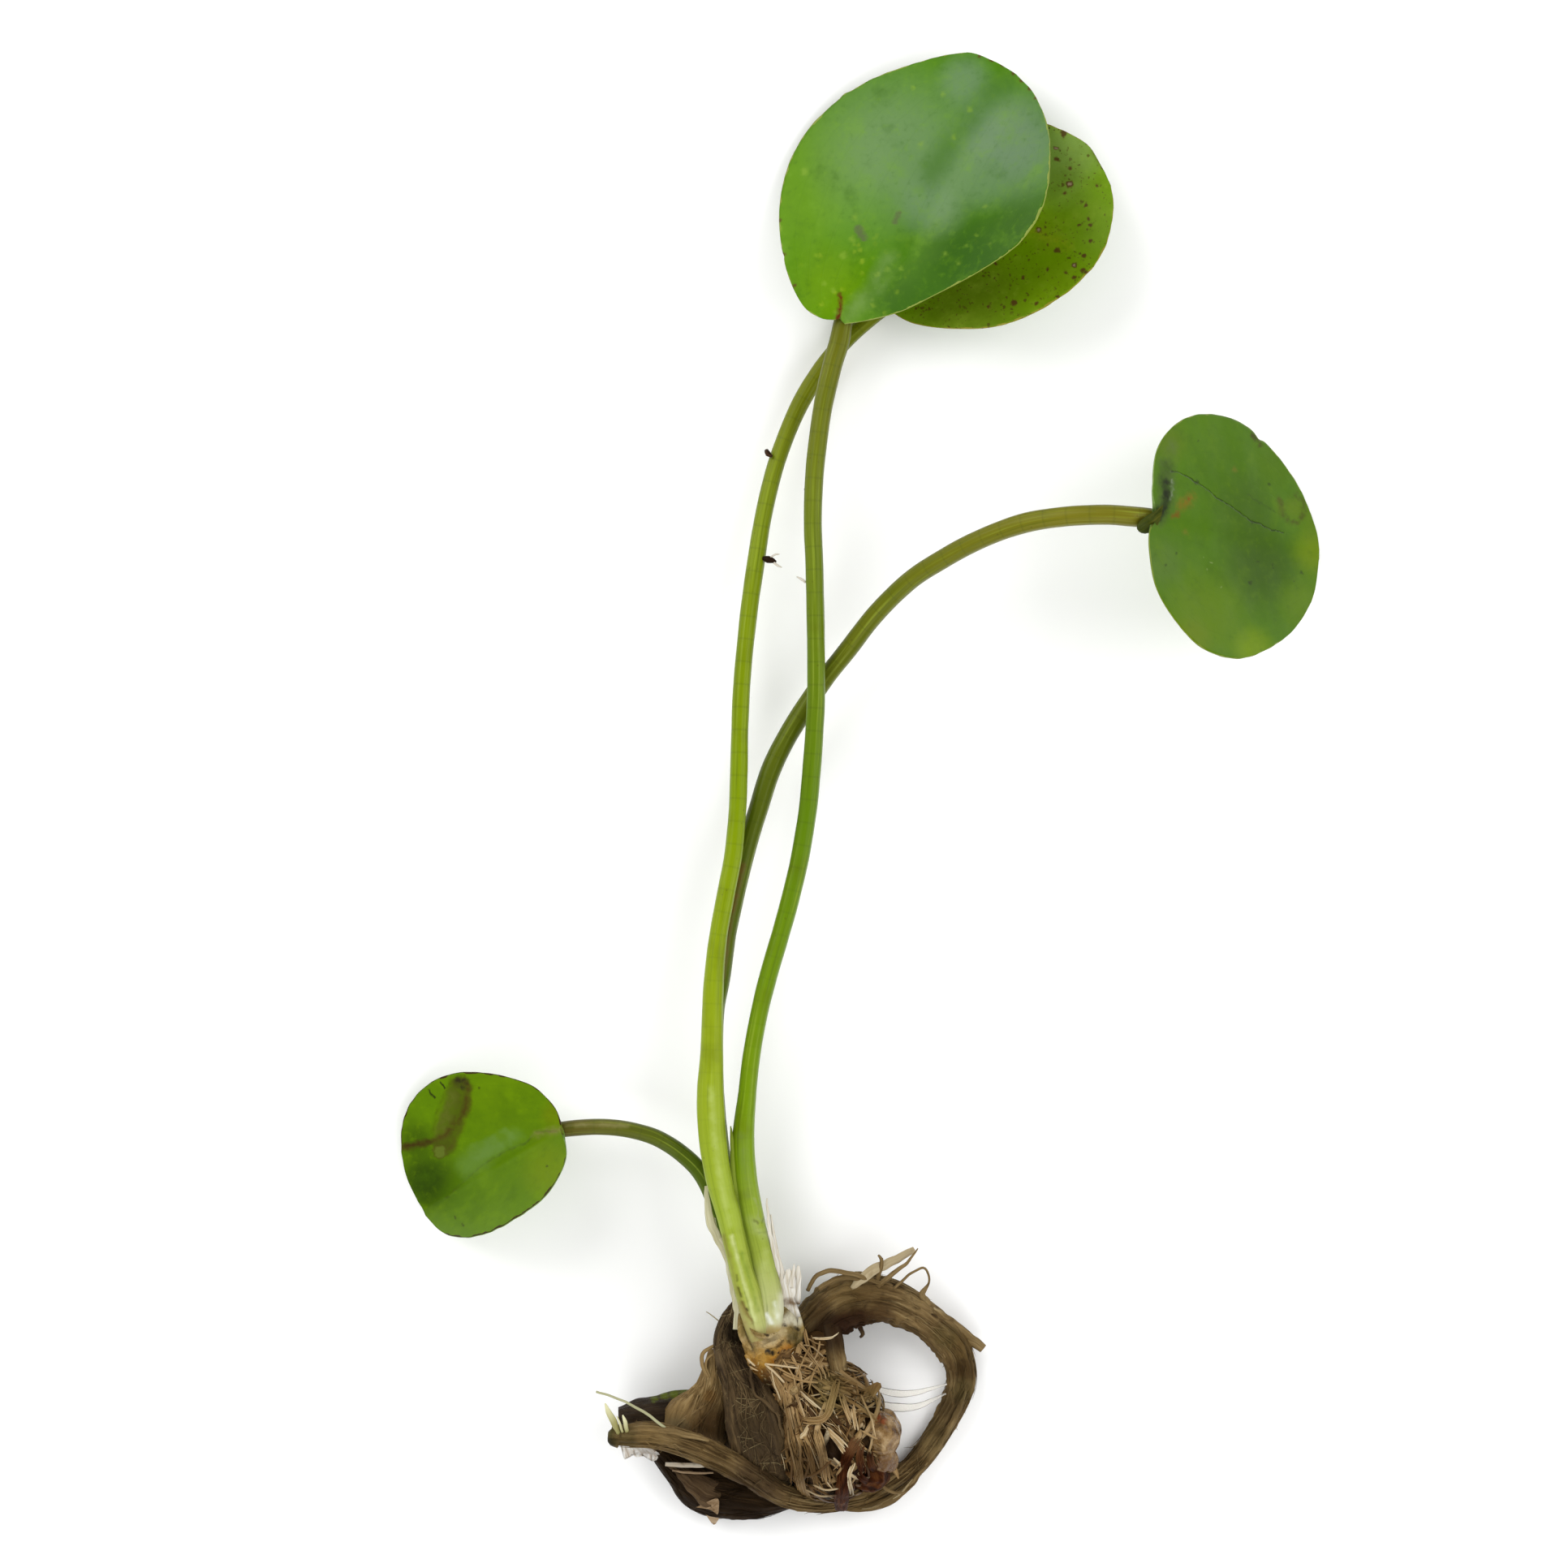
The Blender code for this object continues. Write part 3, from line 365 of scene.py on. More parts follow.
class Finish:
    """One material, and the nodes that give it its look.

    colour is what has been painted so far. reliefs are patterns, each with the height in mm that it
    stands out by as it goes from 0 to 1.
    """

    def __init__(self, name, colour=None, **sockets):
        self.material = bpy.data.materials.new(name)
        self.material.use_nodes = True
        self.tree = self.material.node_tree
        self.shader = self.tree.nodes["Principled BSDF"]
        self.set(**sockets)
        self.colour, self.plan, self.reliefs = colour, None, []
        metres = self.add("TexCoord", out="Object")
        self.place = self.add("VectorMath", {0: metres, "Scale": 1 / MM}, operation="SCALE")
        self.grain = self.add("Attribute", out="Vector", attribute_name="grain")

    def set(self, **sockets):
        """Gives the shader's own sockets a number, a colour or a link."""
        for key, value in sockets.items():
            self.feed(self.shader.inputs[key.replace("_", " ")], value)

    def feed(self, socket, value):
        if isinstance(value, bpy.types.NodeSocket):
            self.tree.links.new(value, socket)
            return
        if isinstance(value, str):
            value = linear(value)
        if socket.type == "RGBA":
            value = (*value[:3], 1.0)
        socket.default_value = value

    def add(self, kind, inputs=None, out=0, stops=None, **settings):
        """Adds a node with its settings and links, and gives back one of its outputs."""
        made = self.tree.nodes.new("ShaderNode" + kind)
        for key, value in settings.items():
            setattr(made, key, value)
        for key, value in (inputs or {}).items():
            self.feed(made.inputs[key], value)
        for i, (place, colour) in enumerate(stops or []):
            elements = made.color_ramp.elements
            element = elements[i] if i < 2 else elements.new(place)
            element.position = place
            element.color = (*linear(colour), 1.0)
        return made.outputs[out]

    def patches(self, scale, detail, low, high, least=0.0, most=1.0):
        """A patchy share, from least to most as soft noise goes from low to high."""
        soft = self.add("TexNoise", {"Vector": self.place, "Scale": scale, "Detail": detail})
        inputs = {"Value": soft, 1: low, 2: high, 3: least, 4: most}
        return self.add("MapRange", inputs, interpolation_type="SMOOTHSTEP")

    def fibres(self, across, along, detail, roughness=0.5, distortion=0.0):
        """Streaks drawn out along the fibres, so many to a mm across them and along them."""
        stretched = self.add("VectorMath", {0: self.grain, 1: (across, across, along)},
                             operation="MULTIPLY")
        return self.add("TexNoise", {"Vector": stretched, "Scale": 1.0, "Detail": detail,
                                     "Roughness": roughness, "Distortion": distortion})

    def tint(self, other, pattern, low, high, most=1.0, times=None):
        """Paints other in, from none of it where pattern is low to most of it where it is high.

        times is a second share that this one is multiplied by.
        """
        inputs = {"Value": pattern, 1: low, 2: high, 3: 0.0, 4: most}
        share = self.add("MapRange", inputs, interpolation_type="SMOOTHSTEP")
        paint = share
        if times is not None:
            paint = self.add("Math", {0: share, 1: times}, operation="MULTIPLY")
        self.colour = self.add("Mix", {0: paint, 6: self.colour, 7: other}, out=2, data_type="RGBA")
        return share

    def flatten(self, fray=1.6):
        """Sets plan: the place from above in mm, shaken so that the edge of a mark frays."""
        shaken = self.add("TexNoise", {"Vector": self.place, "Scale": 0.7, "Detail": 4.0}, out="Color")
        shift = self.add("VectorMath", {0: shaken, 1: (0.5, 0.5, 0.5)}, operation="SUBTRACT")
        inputs = {0: shift, 1: (fray, fray, 0.0), 2: self.place}
        moved = self.add("VectorMath", inputs, operation="MULTIPLY_ADD")
        self.plan = self.add("VectorMath", {0: moved, 1: (1, 1, 0)}, operation="MULTIPLY")

    def mark(self, other, points, width, soft, most=1.0, least=None, scale=0.9):
        """Paints a mark on the plan, and gives back the share that it has there.

        points are round spots (x, y, radius), with 0 for width, or a line through (x, y), so wide.
        Its edge is soft mm to each side. With least, the mark is worn in patches.
        """
        aways = []
        if len(points[0]) == 3:
            for x, y, radius in points:
                inputs = {0: self.plan, 1: (x, y, 0.0)}
                away = self.add("VectorMath", inputs, out="Value", operation="DISTANCE")
                aways.append(self.add("Math", {0: away, 1: radius}, operation="SUBTRACT"))
        else:
            for (x, y), (u, v) in zip(points, points[1:]):
                length = math.dist((x, y), (u, v))
                ahead = ((u - x) / length, (v - y) / length, 0.0)
                start = self.add("VectorMath", {0: self.plan, 1: (x, y, 0.0)}, operation="SUBTRACT")
                reach = self.add("VectorMath", {0: start, 1: ahead}, out="Value",
                                 operation="DOT_PRODUCT")
                reach = self.add("Clamp", {"Value": reach, "Min": 0.0, "Max": length})
                foot = self.add("VectorMath", {0: ahead, "Scale": reach}, operation="SCALE")
                away = self.add("VectorMath", {0: start, 1: foot}, out="Value", operation="DISTANCE")
                aways.append(away)
        nearest = aways[0]
        for away in aways[1:]:
            nearest = self.add("Math", {0: away, 1: nearest}, operation="MINIMUM")
        worn = None
        if least is not None:
            worn = self.patches(scale, 4.0, 0.36, 0.6, least, most)
            most = 1.0
        return self.tint(other, nearest, width / 2 + soft, width / 2 - soft, most, worn)

    def dress(self, as_painted=False):
        """Puts the colour and the reliefs on the surface, as bright as the plant is set to be."""
        if not as_painted:
            inputs = {"Color": self.colour, "Value": plant_settings().depth, "Saturation": 1.03}
            self.colour = self.add("HueSaturation", inputs)
        self.set(Base_Color=self.colour)
        for pattern, height in self.reliefs:
            inputs = {"Height": pattern, "Strength": 1.0, "Distance": height * MM}
            if self.shader.inputs["Normal"].is_linked:
                inputs["Normal"] = self.shader.inputs["Normal"].links[0].from_socket
            self.set(Normal=self.add("Bump", inputs, out="Normal"))


def leaf_skin(name, base, clouds, mottle, rim, sheen="#b4c88c", shine=0.35):
    """Waxy leaf skin: smooth and a little glossy, because the wax fills the cell walls.

    clouds are soft patches of another green, some of them painted sheen and painted shade: x, y, radius,
    hex colour, strength.
    mottle is a paler and a darker green, and rim the colour and width of the margin.
    """
    skin = Finish(name, base, Roughness=plant_settings().gloss_roughness, IOR=WALL_IOR,
                  Specular_IOR_Level=shine, Specular_Tint=sheen)
    skin.flatten()
    core, fade = 0.675, 0.475  # shares of a patch's radius: where it is half gone, and how softly
    for x, y, radius, other, strength in clouds:
        skin.mark(other, [(x, y, radius * core)], 0.0, radius * fade, strength)
    # Cell groups 2 to 10 mm across that are paler or darker
    pale, dark = mottle
    for scale, strength in ((0.11, 0.5), (0.45, 0.35)):
        inputs = {"Vector": skin.place, "Scale": scale, "Detail": 5.0, "Roughness": 0.62}
        groups = skin.add("TexNoise", inputs)
        skin.tint(pale, groups, 0.5, 0.8, strength)
        skin.tint(dark, groups, 0.48, 0.2, strength)
    # Side veins run from base to tip, and show as lines a little darker than the blade
    across = skin.add("SeparateXYZ", {0: skin.grain}, out="X")
    wave = skin.add("Math", {0: across, 1: 6.0}, operation="MULTIPLY")
    wave = skin.add("Math", {0: wave, 1: 0.5}, operation="PINGPONG")
    vein_shade = 0.06
    veins = skin.tint(dark, wave, 0.07, 0.0, vein_shade)
    to_margin = skin.add("SeparateXYZ", {0: skin.grain}, out="Z")
    rim_width = skin.patches(0.3, 4.0, 0.42, 0.66, rim[1] * 0.15, rim[1])
    on_rim = skin.add("Math", {0: to_margin, 1: rim_width}, operation="LESS_THAN")
    skin.tint(rim[0], on_rim, 0.0, 1.0)
    # Leaf cells are finer than a pixel, so the grain is drawn 0.4 mm across
    cells = skin.add("TexNoise", {"Vector": skin.place, "Scale": 2.4, "Detail": 3.0})
    waves = skin.add("TexNoise", {"Vector": skin.place, "Scale": 0.09, "Detail": 1.0})
    skin.reliefs = [(waves, 0.5), (cells, 0.015), (veins, -0.008 / vein_shade)]
    return skin


def leaf_underside(name, base, dark):
    """Underside of the blade: duller and paler, with the air cells showing as a fine net."""
    skin = Finish(name, base, Roughness=0.5, IOR=FLESH_IOR)
    net = skin.add("TexVoronoi", {"Vector": skin.place, "Scale": 0.9}, out="Distance",
                   feature="DISTANCE_TO_EDGE")
    groups = skin.add("TexNoise", {"Vector": skin.place, "Scale": 0.25, "Detail": 3.0})
    skin.tint(dark, groups, 0.4, 0.75, 0.7)
    skin.tint(dark, net, 0.12, 0.0, 0.45)
    skin.reliefs = [(net, 0.05)]
    skin.dress()
    return skin


def front_leaf_skin(settings):
    """The wax is whole here, so this leaf has the brightest green and the most sheen, part of it painted,
    with painted shade on the steep right half.
    """
    # The grey green clouds at (8, 156), (34, 158), (16, 144), (27, 149) and (24, 174) are painted sheen;
    # the dark clouds at (24, 129), (8, 119.5) and (38, 136) are painted shade where the right half rises
    # steeply
    clouds = [
        (-15, 146, 26, "#5f8c10", 0.75), (-9, 122, 13, "#658e0e", 0.8), (8, 156, 24, "#6c8a5e", 0.75),
        (24, 129, 17, "#2c5a00", 0.98), (8, 119.5, 11, "#305e00", 0.9), (38, 136, 13, "#305c02", 0.9),
        (34, 158, 17, "#6c8668", 0.88), (16, 144, 10, "#6c8a62", 0.8), (27, 149, 9, "#628454", 0.75),
        (24, 174, 8, "#6c8866", 0.7), (-2, 140, 12, "#5c8a30", 0.5),
    ]
    skin = leaf_skin("waxy leaf skin, fresh", settings.front_green, clouds, ("#6c982a", "#305c0a"),
                     ("#8c9a48", 0.5), "#bcd090", 0.36)
    # Painted shade: a darker band along the midrib crease towards the tip
    crease_shade = [(15, 150), (22, 161), (29.4, 170.4), (36.5, 176)]
    skin.mark("#48702c", crease_shade, 5.5, 3.0, 0.65, 0.35, 0.15)
    pale = [(-15.3, 152.3, 0.9), (-21.1, 137.8, 0.5), (-10.6, 123.9, 0.6), (-8.2, 122.3, 0.6),
            (-3, 140.2, 0.5), (-3.6, 134.9, 0.7), (-5.8, 130.9, 0.9), (4.8, 127.3, 0.5),
            (8.2, 127.6, 0.5), (18.9, 130.7, 0.5), (22.1, 128.3, 0.35), (23.9, 132.5, 0.3),
            (26.5, 135, 0.25), (29.6, 132.6, 0.25), (28.5, 142.3, 0.4), (25, 166.6, 0.6),
            (13.1, 158.3, 0.5), (21.2, 160, 0.5), (11.4, 172.4, 0.4), (18.7, 170.6, 0.4)]
    skin.mark("#86a63a", pale, 0.0, 0.6, 0.45)
    # Yellow flecks lie round the base of the blade
    flecks = skin.add("TexVoronoi", {"Vector": skin.plan, "Scale": 0.4}, out="Distance")
    away = skin.add("VectorMath", {0: skin.plan, 1: (-5, 124, 0)}, out="Value",
                    operation="DISTANCE")
    near = skin.add("MapRange", {"Value": away, 1: 3.0, 2: 19.0, 3: 1.0, 4: 0.06},
                    interpolation_type="SMOOTHSTEP")
    patchy = skin.patches(0.2, 4.0, 0.36, 0.6)
    near = skin.add("Math", {0: near, 1: patchy}, operation="MULTIPLY")
    skin.tint("#8ea830", flecks, 0.36, 0.08, 0.6, near)
    skin.mark("#5a6442", [(-2.2, 137.4), (-0.9, 135.4)], 2.0, 0.5, 0.85, 0.6)
    skin.mark("#5a6442", [(7.7, 141.1), (6.8, 139.3)], 1.3, 0.5, 0.85, 0.6)
    skin.mark("#7c9a58", [(-5, 116), (1.5, 122.5), (5.5, 130)], 3.4, 2.4, 0.55, 0.25, 0.2)
    skin.mark("#5e2812", [(-6.6, 121.4), (-6.6, 118.6), (-7.2, 115.2)], 0.9, 0.4, 1.0, 0.6)
    dots = [(27.6, 180.2), (30.4, 179.2), (33.2, 177.6), (35.9, 175.9), (38, 173.9), (39.9, 171.9),
            (41.3, 169.4), (-21.3, 140), (-20.4, 131.5), (-17.8, 123.5), (-12.6, 166)]
    skin.mark("#54301a", [(x, y, 0.5) for x, y in dots], 0.0, 0.35, 0.85)
    skin.dress()
    return skin


def speckled_leaf_skin(settings):
    """The green is going from between the veins, so this leaf is olive with dead dots."""
    clouds = [
        (24, 119, 20, "#5c7418", 0.9), (50, 158, 12, "#7f9a50", 0.7), (56, 136, 9, "#6d8e20", 0.7),
        (47, 149, 9, "#6a8638", 0.6), (46, 122, 10, "#6f8e1a", 0.7), (44, 135.5, 5, "#7f9426", 0.35),
    ]
    skin = leaf_skin("waxy leaf skin, ageing", settings.behind_green, clouds, ("#8aa434", "#56720c"),
                     ("#8f8a35", 0.5))
    # Leaf spot: dead dots 0.3 to 0.8 mm across, scattered by cell and thinned out by noise
    for scale, edge in ((0.42, 0.2), (0.8, 0.22), (1.15, 0.24)):
        cells = skin.add("TexVoronoi", {"Vector": skin.plan, "Scale": scale}, out="Distance")
        some = skin.patches(0.11 + scale * 0.1, 2.0, 0.4, 0.56)
        skin.tint("#4a3a14", cells, edge, edge * 0.6, 0.75, some)
    big = [(46.4, 154.7, 0.6), (46.3, 157.4, 0.5), (49.5, 148.4, 0.9), (53.4, 143.2, 0.55),
           (42, 137.2, 0.8), (50.4, 128.1, 0.7), (52.4, 126.7, 0.6), (53.2, 126.2, 0.5), (50.3, 125, 0.5),
           (54.5, 138.3, 0.5), (51.9, 138.2, 0.5), (53.9, 139.7, 0.4), (46.4, 132, 0.7),
           (52.7, 130.5, 0.6), (54.4, 134, 0.5), (38, 137.5, 0.5), (48.2, 126.4, 0.4), (48.5, 146.2, 0.4),
           (49.6, 152.3, 0.4), (56, 148.1, 0.4), (48.1, 161, 0.9), (35.8, 119, 0.7), (41, 118.6, 0.5),
           (46.3, 120.4, 0.4), (29.6, 118.3, 0.4), (31.5, 129.1, 0.5), (38.1, 125.5, 0.5),
           (43.9, 127.3, 0.4)]
    skin.mark("#4f2f18", big, 0.0, 0.25, 0.9)
    hearts = [(46.3, 157.4, 0.3), (49.5, 148.4, 0.45), (42, 137.2, 0.4), (50.4, 128.1, 0.35)]
    skin.mark("#9c8a6e", hearts, 0.0, 0.2, 0.75)
    skin.mark("#4f2c1a", [(55.4, 157.2), (57.4, 153.8), (59.2, 150.8)], 1.3, 0.6, 1.0, 0.2)
    skin.mark("#8c9c22", [(37, 138), (44, 135.6), (49, 133)], 2.0, 1.6, 0.5, 0.1)
    skin.dress()
    return skin


def bruised_leaf_skin(settings):
    """Torn cells have let their water out, so this leaf is darker and duller, with a split."""
    clouds = [
        (78, 86, 14, "#50760a", 0.7), (96, 55, 13, "#365212", 0.85), (86, 78, 12, "#42660a", 0.6),
        (80, 42, 14, "#5d7a0a", 0.75), (110.5, 59, 7.5, "#688004", 0.85), (111, 68, 7, "#5a7606", 0.65),
        (107, 46, 8, "#5a7804", 0.7), (93, 34.5, 6.5, "#708c06", 0.85), (77, 36.5, 6, "#66780a", 0.65),
        (92, 68, 11, "#3a580e", 0.7), (70, 55, 7, "#54702c", 0.7), (72, 84, 6, "#5a7012", 0.6),
        (100, 80, 8, "#4c6c0a", 0.6),
    ]
    skin = leaf_skin("waxy leaf skin, bruised", settings.right_green, clouds, ("#5e7e18", "#37560a"),
                     ("#7c8a3e", 0.35), "#b0c474", 0.24)
    crack = [(72.6, 76.8), (74.6, 76.7), (76.4, 76), (78.9, 74.6), (81.4, 73.3), (84.4, 71), (87.6, 69.4),
             (90.6, 67.6), (93.4, 65.7), (95.2, 65.4), (98.6, 63.8), (101.9, 63.4)]
    skin.flatten(0.9)
    split = skin.mark("#1c2c06", crack, 0.3, 0.2, 1.0, 0.35)
    skin.flatten()
    second = [(92.4, 72.2), (94.6, 71), (96.8, 69.8), (99.8, 68.2)]
    skin.mark("#334a14", second, 0.25, 0.3, 0.8, 0.2)
    skin.mark("#6b7a18", [(104.6, 69.5, 2.4), (102, 69.4, 1.4)], 0.0, 1.6, 0.32)
    ring = [(101.4, 70.6), (101.6, 67.6), (103.8, 65.9), (106, 66.2), (107.6, 68.4), (107.4, 71),
            (105.6, 73)]
    skin.mark("#454a12", ring, 1.1, 0.7, 0.85, 0.2, 0.5)
    nick = [(95.2, 86.2, 0.9), (94.4, 87, 0.8), (96.2, 84.6, 0.7)]
    skin.mark("#3c3412", nick, 0.0, 0.5, 0.85, 0.34)
    skin.mark("#4c4c14", [(100.9, 71.4, 0.7)], 0.0, 0.6, 0.7)
    scorched = [(77.6, 70.7, 1), (76.4, 69.6, 1.3), (75.2, 68.8, 1.1)]
    skin.mark("#7d6014", scorched, 0.0, 1.3, 0.765, 0.255)
    reddish = [(74, 66.5, 0.8), (73, 66.1, 0.6), (76.9, 70.4, 0.4)]
    skin.mark("#7a3e16", reddish, 0.0, 0.5, 0.81, 0.36)
    skin.mark("#7a6a28", [(89.2, 78.2, 0.5), (76.2, 62.4, 0.6)], 0.0, 0.7, 0.5)
    dark = [(98.2, 75.1, 0.35), (92.8, 50.6, 0.6), (73.8, 57.2, 0.3), (70.8, 54.1, 0.3),
            (79.8, 84.6, 0.25), (106.6, 53.7, 0.3), (99, 55.4, 0.3), (99.2, 54.6, 0.25),
            (95.2, 55.9, 0.25), (104.6, 51.4, 0.2), (79.2, 74.5, 0.4), (93.6, 65.6, 0.3)]
    skin.mark("#26320f", dark, 0.0, 0.3, 0.75)
    white = [(80.7, 56.3, 0.15), (82.8, 55.2, 0.2), (81.6, 53.4, 0.15), (84.9, 49.3, 0.15)]
    skin.mark("#93a568", white, 0.0, 0.2, 0.6)
    # Along the folded margin near the base: the grey green streak and the whitish streak beside it are
    # painted sheen, and the two dark streaks are the bruise darkened further by painted shade of the fold
    fold_shade_and_sheen = [(72.6, 82.5), (71.6, 78), (71.2, 74), (71.4, 71.5), (71, 68.2), (69.4, 65.6)]
    skin.mark("#57683a", fold_shade_and_sheen, 3.4, 2.0, 0.6, 0.2, 0.25)
    skin.mark("#26340f", fold_shade_and_sheen[1:], 3.0, 1.4, 0.9, 0.4, 0.3)
    skin.mark("#131a0a", fold_shade_and_sheen[2:], 1.6, 0.8, 0.95, 0.5, 0.4)
    skin.mark("#7d8a70", [(72.7, 75), (72.9, 72.4), (72.3, 70)], 0.5, 0.4, 0.7, 0.2)
    skin.reliefs.append((split, -0.12))
    skin.dress()
    return skin


def decayed_leaf_skin(settings):
    """Rot has softened one side, so this leaf goes from yellow green to a dull wet brown."""
    clouds = [
        (-88, -73, 14, "#628208", 0.6), (-77, -92, 9, "#6f8614", 0.8), (-90, -104, 10, "#5c7e0e", 0.5),
        (-96, -91.5, 6.5, "#5c7c24", 0.8), (-108, -96, 9.5, "#223803", 0.9),
        (-110.5, -86, 6, "#38500a", 0.8), (-99, -100, 8, "#4a6c0a", 0.5), (-76, -79, 4.5, "#6c7a12", 0.7),
        (-86, -76.5, 7, "#4c6c06", 0.5),
    ]
    skin = leaf_skin("waxy leaf skin, decaying", settings.small_green, clouds, ("#74961a", "#436306"),
                     ("#38260f", 0.55))
    valley = [(-75.7, -82.9), (-80.9, -83.4), (-83, -85.8), (-89, -88.4), (-94.7, -92.1), (-99.2, -96.2),
              (-103.3, -99.9)]
    skin.flatten(0.7)
    groove = skin.mark("#3f4f14", valley, 0.45, 0.4, 0.8, 0.1, 0.35)
    skin.flatten()
    # Painted sheen: a pale grey green streak beside the midrib valley
    skin.mark("#67883c", [(-86, -84.6), (-92, -87.6), (-98, -92.4)], 4.0, 2.6, 0.6, 0.3, 0.2)
    skin.mark("#6d8c48", [(-88.5, -84.6), (-91.8, -87), (-95.8, -88.4)], 4.2, 0.6, 0.35, 0.1, 0.2)
    skin.mark("#8d8250", [(-74.4, -82.4), (-77.5, -83), (-81, -83.8)], 1.2, 1.3, 0.7, 0.3, 0.4)
    dead = [(-99.5, -72.5), (-100.6, -77), (-102.4, -82), (-103.6, -86.2)]
    skin.mark("#454a10", dead, 5.8, 0.9, 0.92, 0.7, 0.4)
    light = [(-101.8, -74.6), (-103.2, -79.6), (-104.6, -83.6)]
    skin.mark("#5f6a24", light, 2.6, 1.8, 0.7, 0.2, 0.4)
    right_rim = [(-98.5, -70.4), (-97.2, -73), (-97.4, -77.5), (-99.3, -82.6), (-101.6, -87.2),
                 (-103.8, -88.9), (-105.6, -87.6)]
    skin.mark("#4c4a14", right_rim, 0.9, 0.8, 0.75, 0.3, 0.5)
    left_rim = [(-101.4, -70.6), (-103.6, -74.7), (-105.8, -79.6), (-106.7, -83.9), (-105.6, -87.6)]
    skin.mark("#46520e", left_rim, 0.6, 0.6, 0.6, 0.2, 0.5)
    rot = [(-98, -71.8), (-98, -77.4), (-100.4, -81), (-103.4, -84.2), (-107, -86), (-110.8, -86.9),
           (-114.2, -87.6)]
    skin.mark("#453310", rot, 1.1, 1.0, 0.9, 0.45, 0.4)
    skin.mark("#3a2a0c", [(-107.4, -86), (-111, -86.9), (-114.4, -87.6)], 1.3, 0.8, 0.9, 0.5)
    head = [(-100, -70.6, 0.9), (-98.5, -70.9, 0.8), (-99.2, -72.2, 0.7)]
    skin.mark("#2c2612", head, 0.0, 0.8, 1.0, 0.5)
    skin.mark("#4b4614", [(-104.8, -88.5, 1.75)], 0.0, 0.3, 0.7)
    skin.mark("#5d6c26", [(-104.8, -88.5, 1.45)], 0.0, 0.35, 0.9)
    skin.mark("#22240e", [(-104.5, -71.3), (-103.4, -72.7)], 0.45, 0.25)
    skin.mark("#22240e", [(-107.3, -73.6), (-106, -75.2)], 0.45, 0.25)
    dots = [(-77.9, -91.1, 0.35), (-98.8, -106, 0.3), (-94.9, -72.4, 0.3), (-101, -104.4, 0.25)]
    skin.mark("#33340f", dots, 0.0, 0.25, 0.8)
    skin.reliefs.append((groove, -0.1))
    skin.dress()
    return skin


def rise_across(rise, lateral):
    inner, outer = (math.tan(math.radians(slope)) for slope in rise[:2])
    return inner * lateral + (outer - inner) * lateral**2 / (2 * rise[2])


def blade_height(leaf, place):
    """Height of the upper face at places seen from above."""
    base, tip = np.array(leaf["base"]), np.array(leaf["tip"])
    length = np.linalg.norm((tip - base)[:2])
    onward = (tip - base)[:2] / length
    left = np.array([-onward[1], onward[0]])
    share = (place - base[:2]) @ onward / length
    swing = -leaf["sway"] * np.sin(2 * math.pi * np.clip(share, 0, 1))
    lateral = (place - base[:2]) @ left - swing
    valley = leaf["valley"]
    away = np.sqrt(lateral**2 + valley**2) - valley
    left_rise, right_rise = (rise_across(rise, away) for rise in leaf["rise"])
    blend = 1 / (1 + np.exp(-lateral / (0.35 * valley)))
    rise = left_rise * blend + right_rise * (1 - blend)
    ripple = 0.3 * rough(np.concatenate([place, np.zeros((*place.shape[:-1], 1))], -1), 13.0, 2.0)
    return base[2] + (tip[2] - base[2]) * share + rise + ripple


def blade_normal(leaf, place):
    step = 0.3
    slopes = [
        (blade_height(leaf, place + shift) - blade_height(leaf, place - shift)) / (2 * step)
        for shift in (np.array([step, 0.0]), np.array([0.0, step]))
    ]
    return unit(np.stack([-slopes[0], -slopes[1], np.ones_like(slopes[0])], axis=-1))


def spread_along(points, count):
    """Count + 1 points at even distances on a smooth curve through the given points."""
    fine = smooth_line([(*point, 0.0) for point in points], 0.5)
    reached = run_length(fine)
    goals = np.linspace(0, reached[-1], count + 1)
    return np.stack([np.interp(goals, reached, fine[:, i]) for i in (0, 1)], axis=-1)


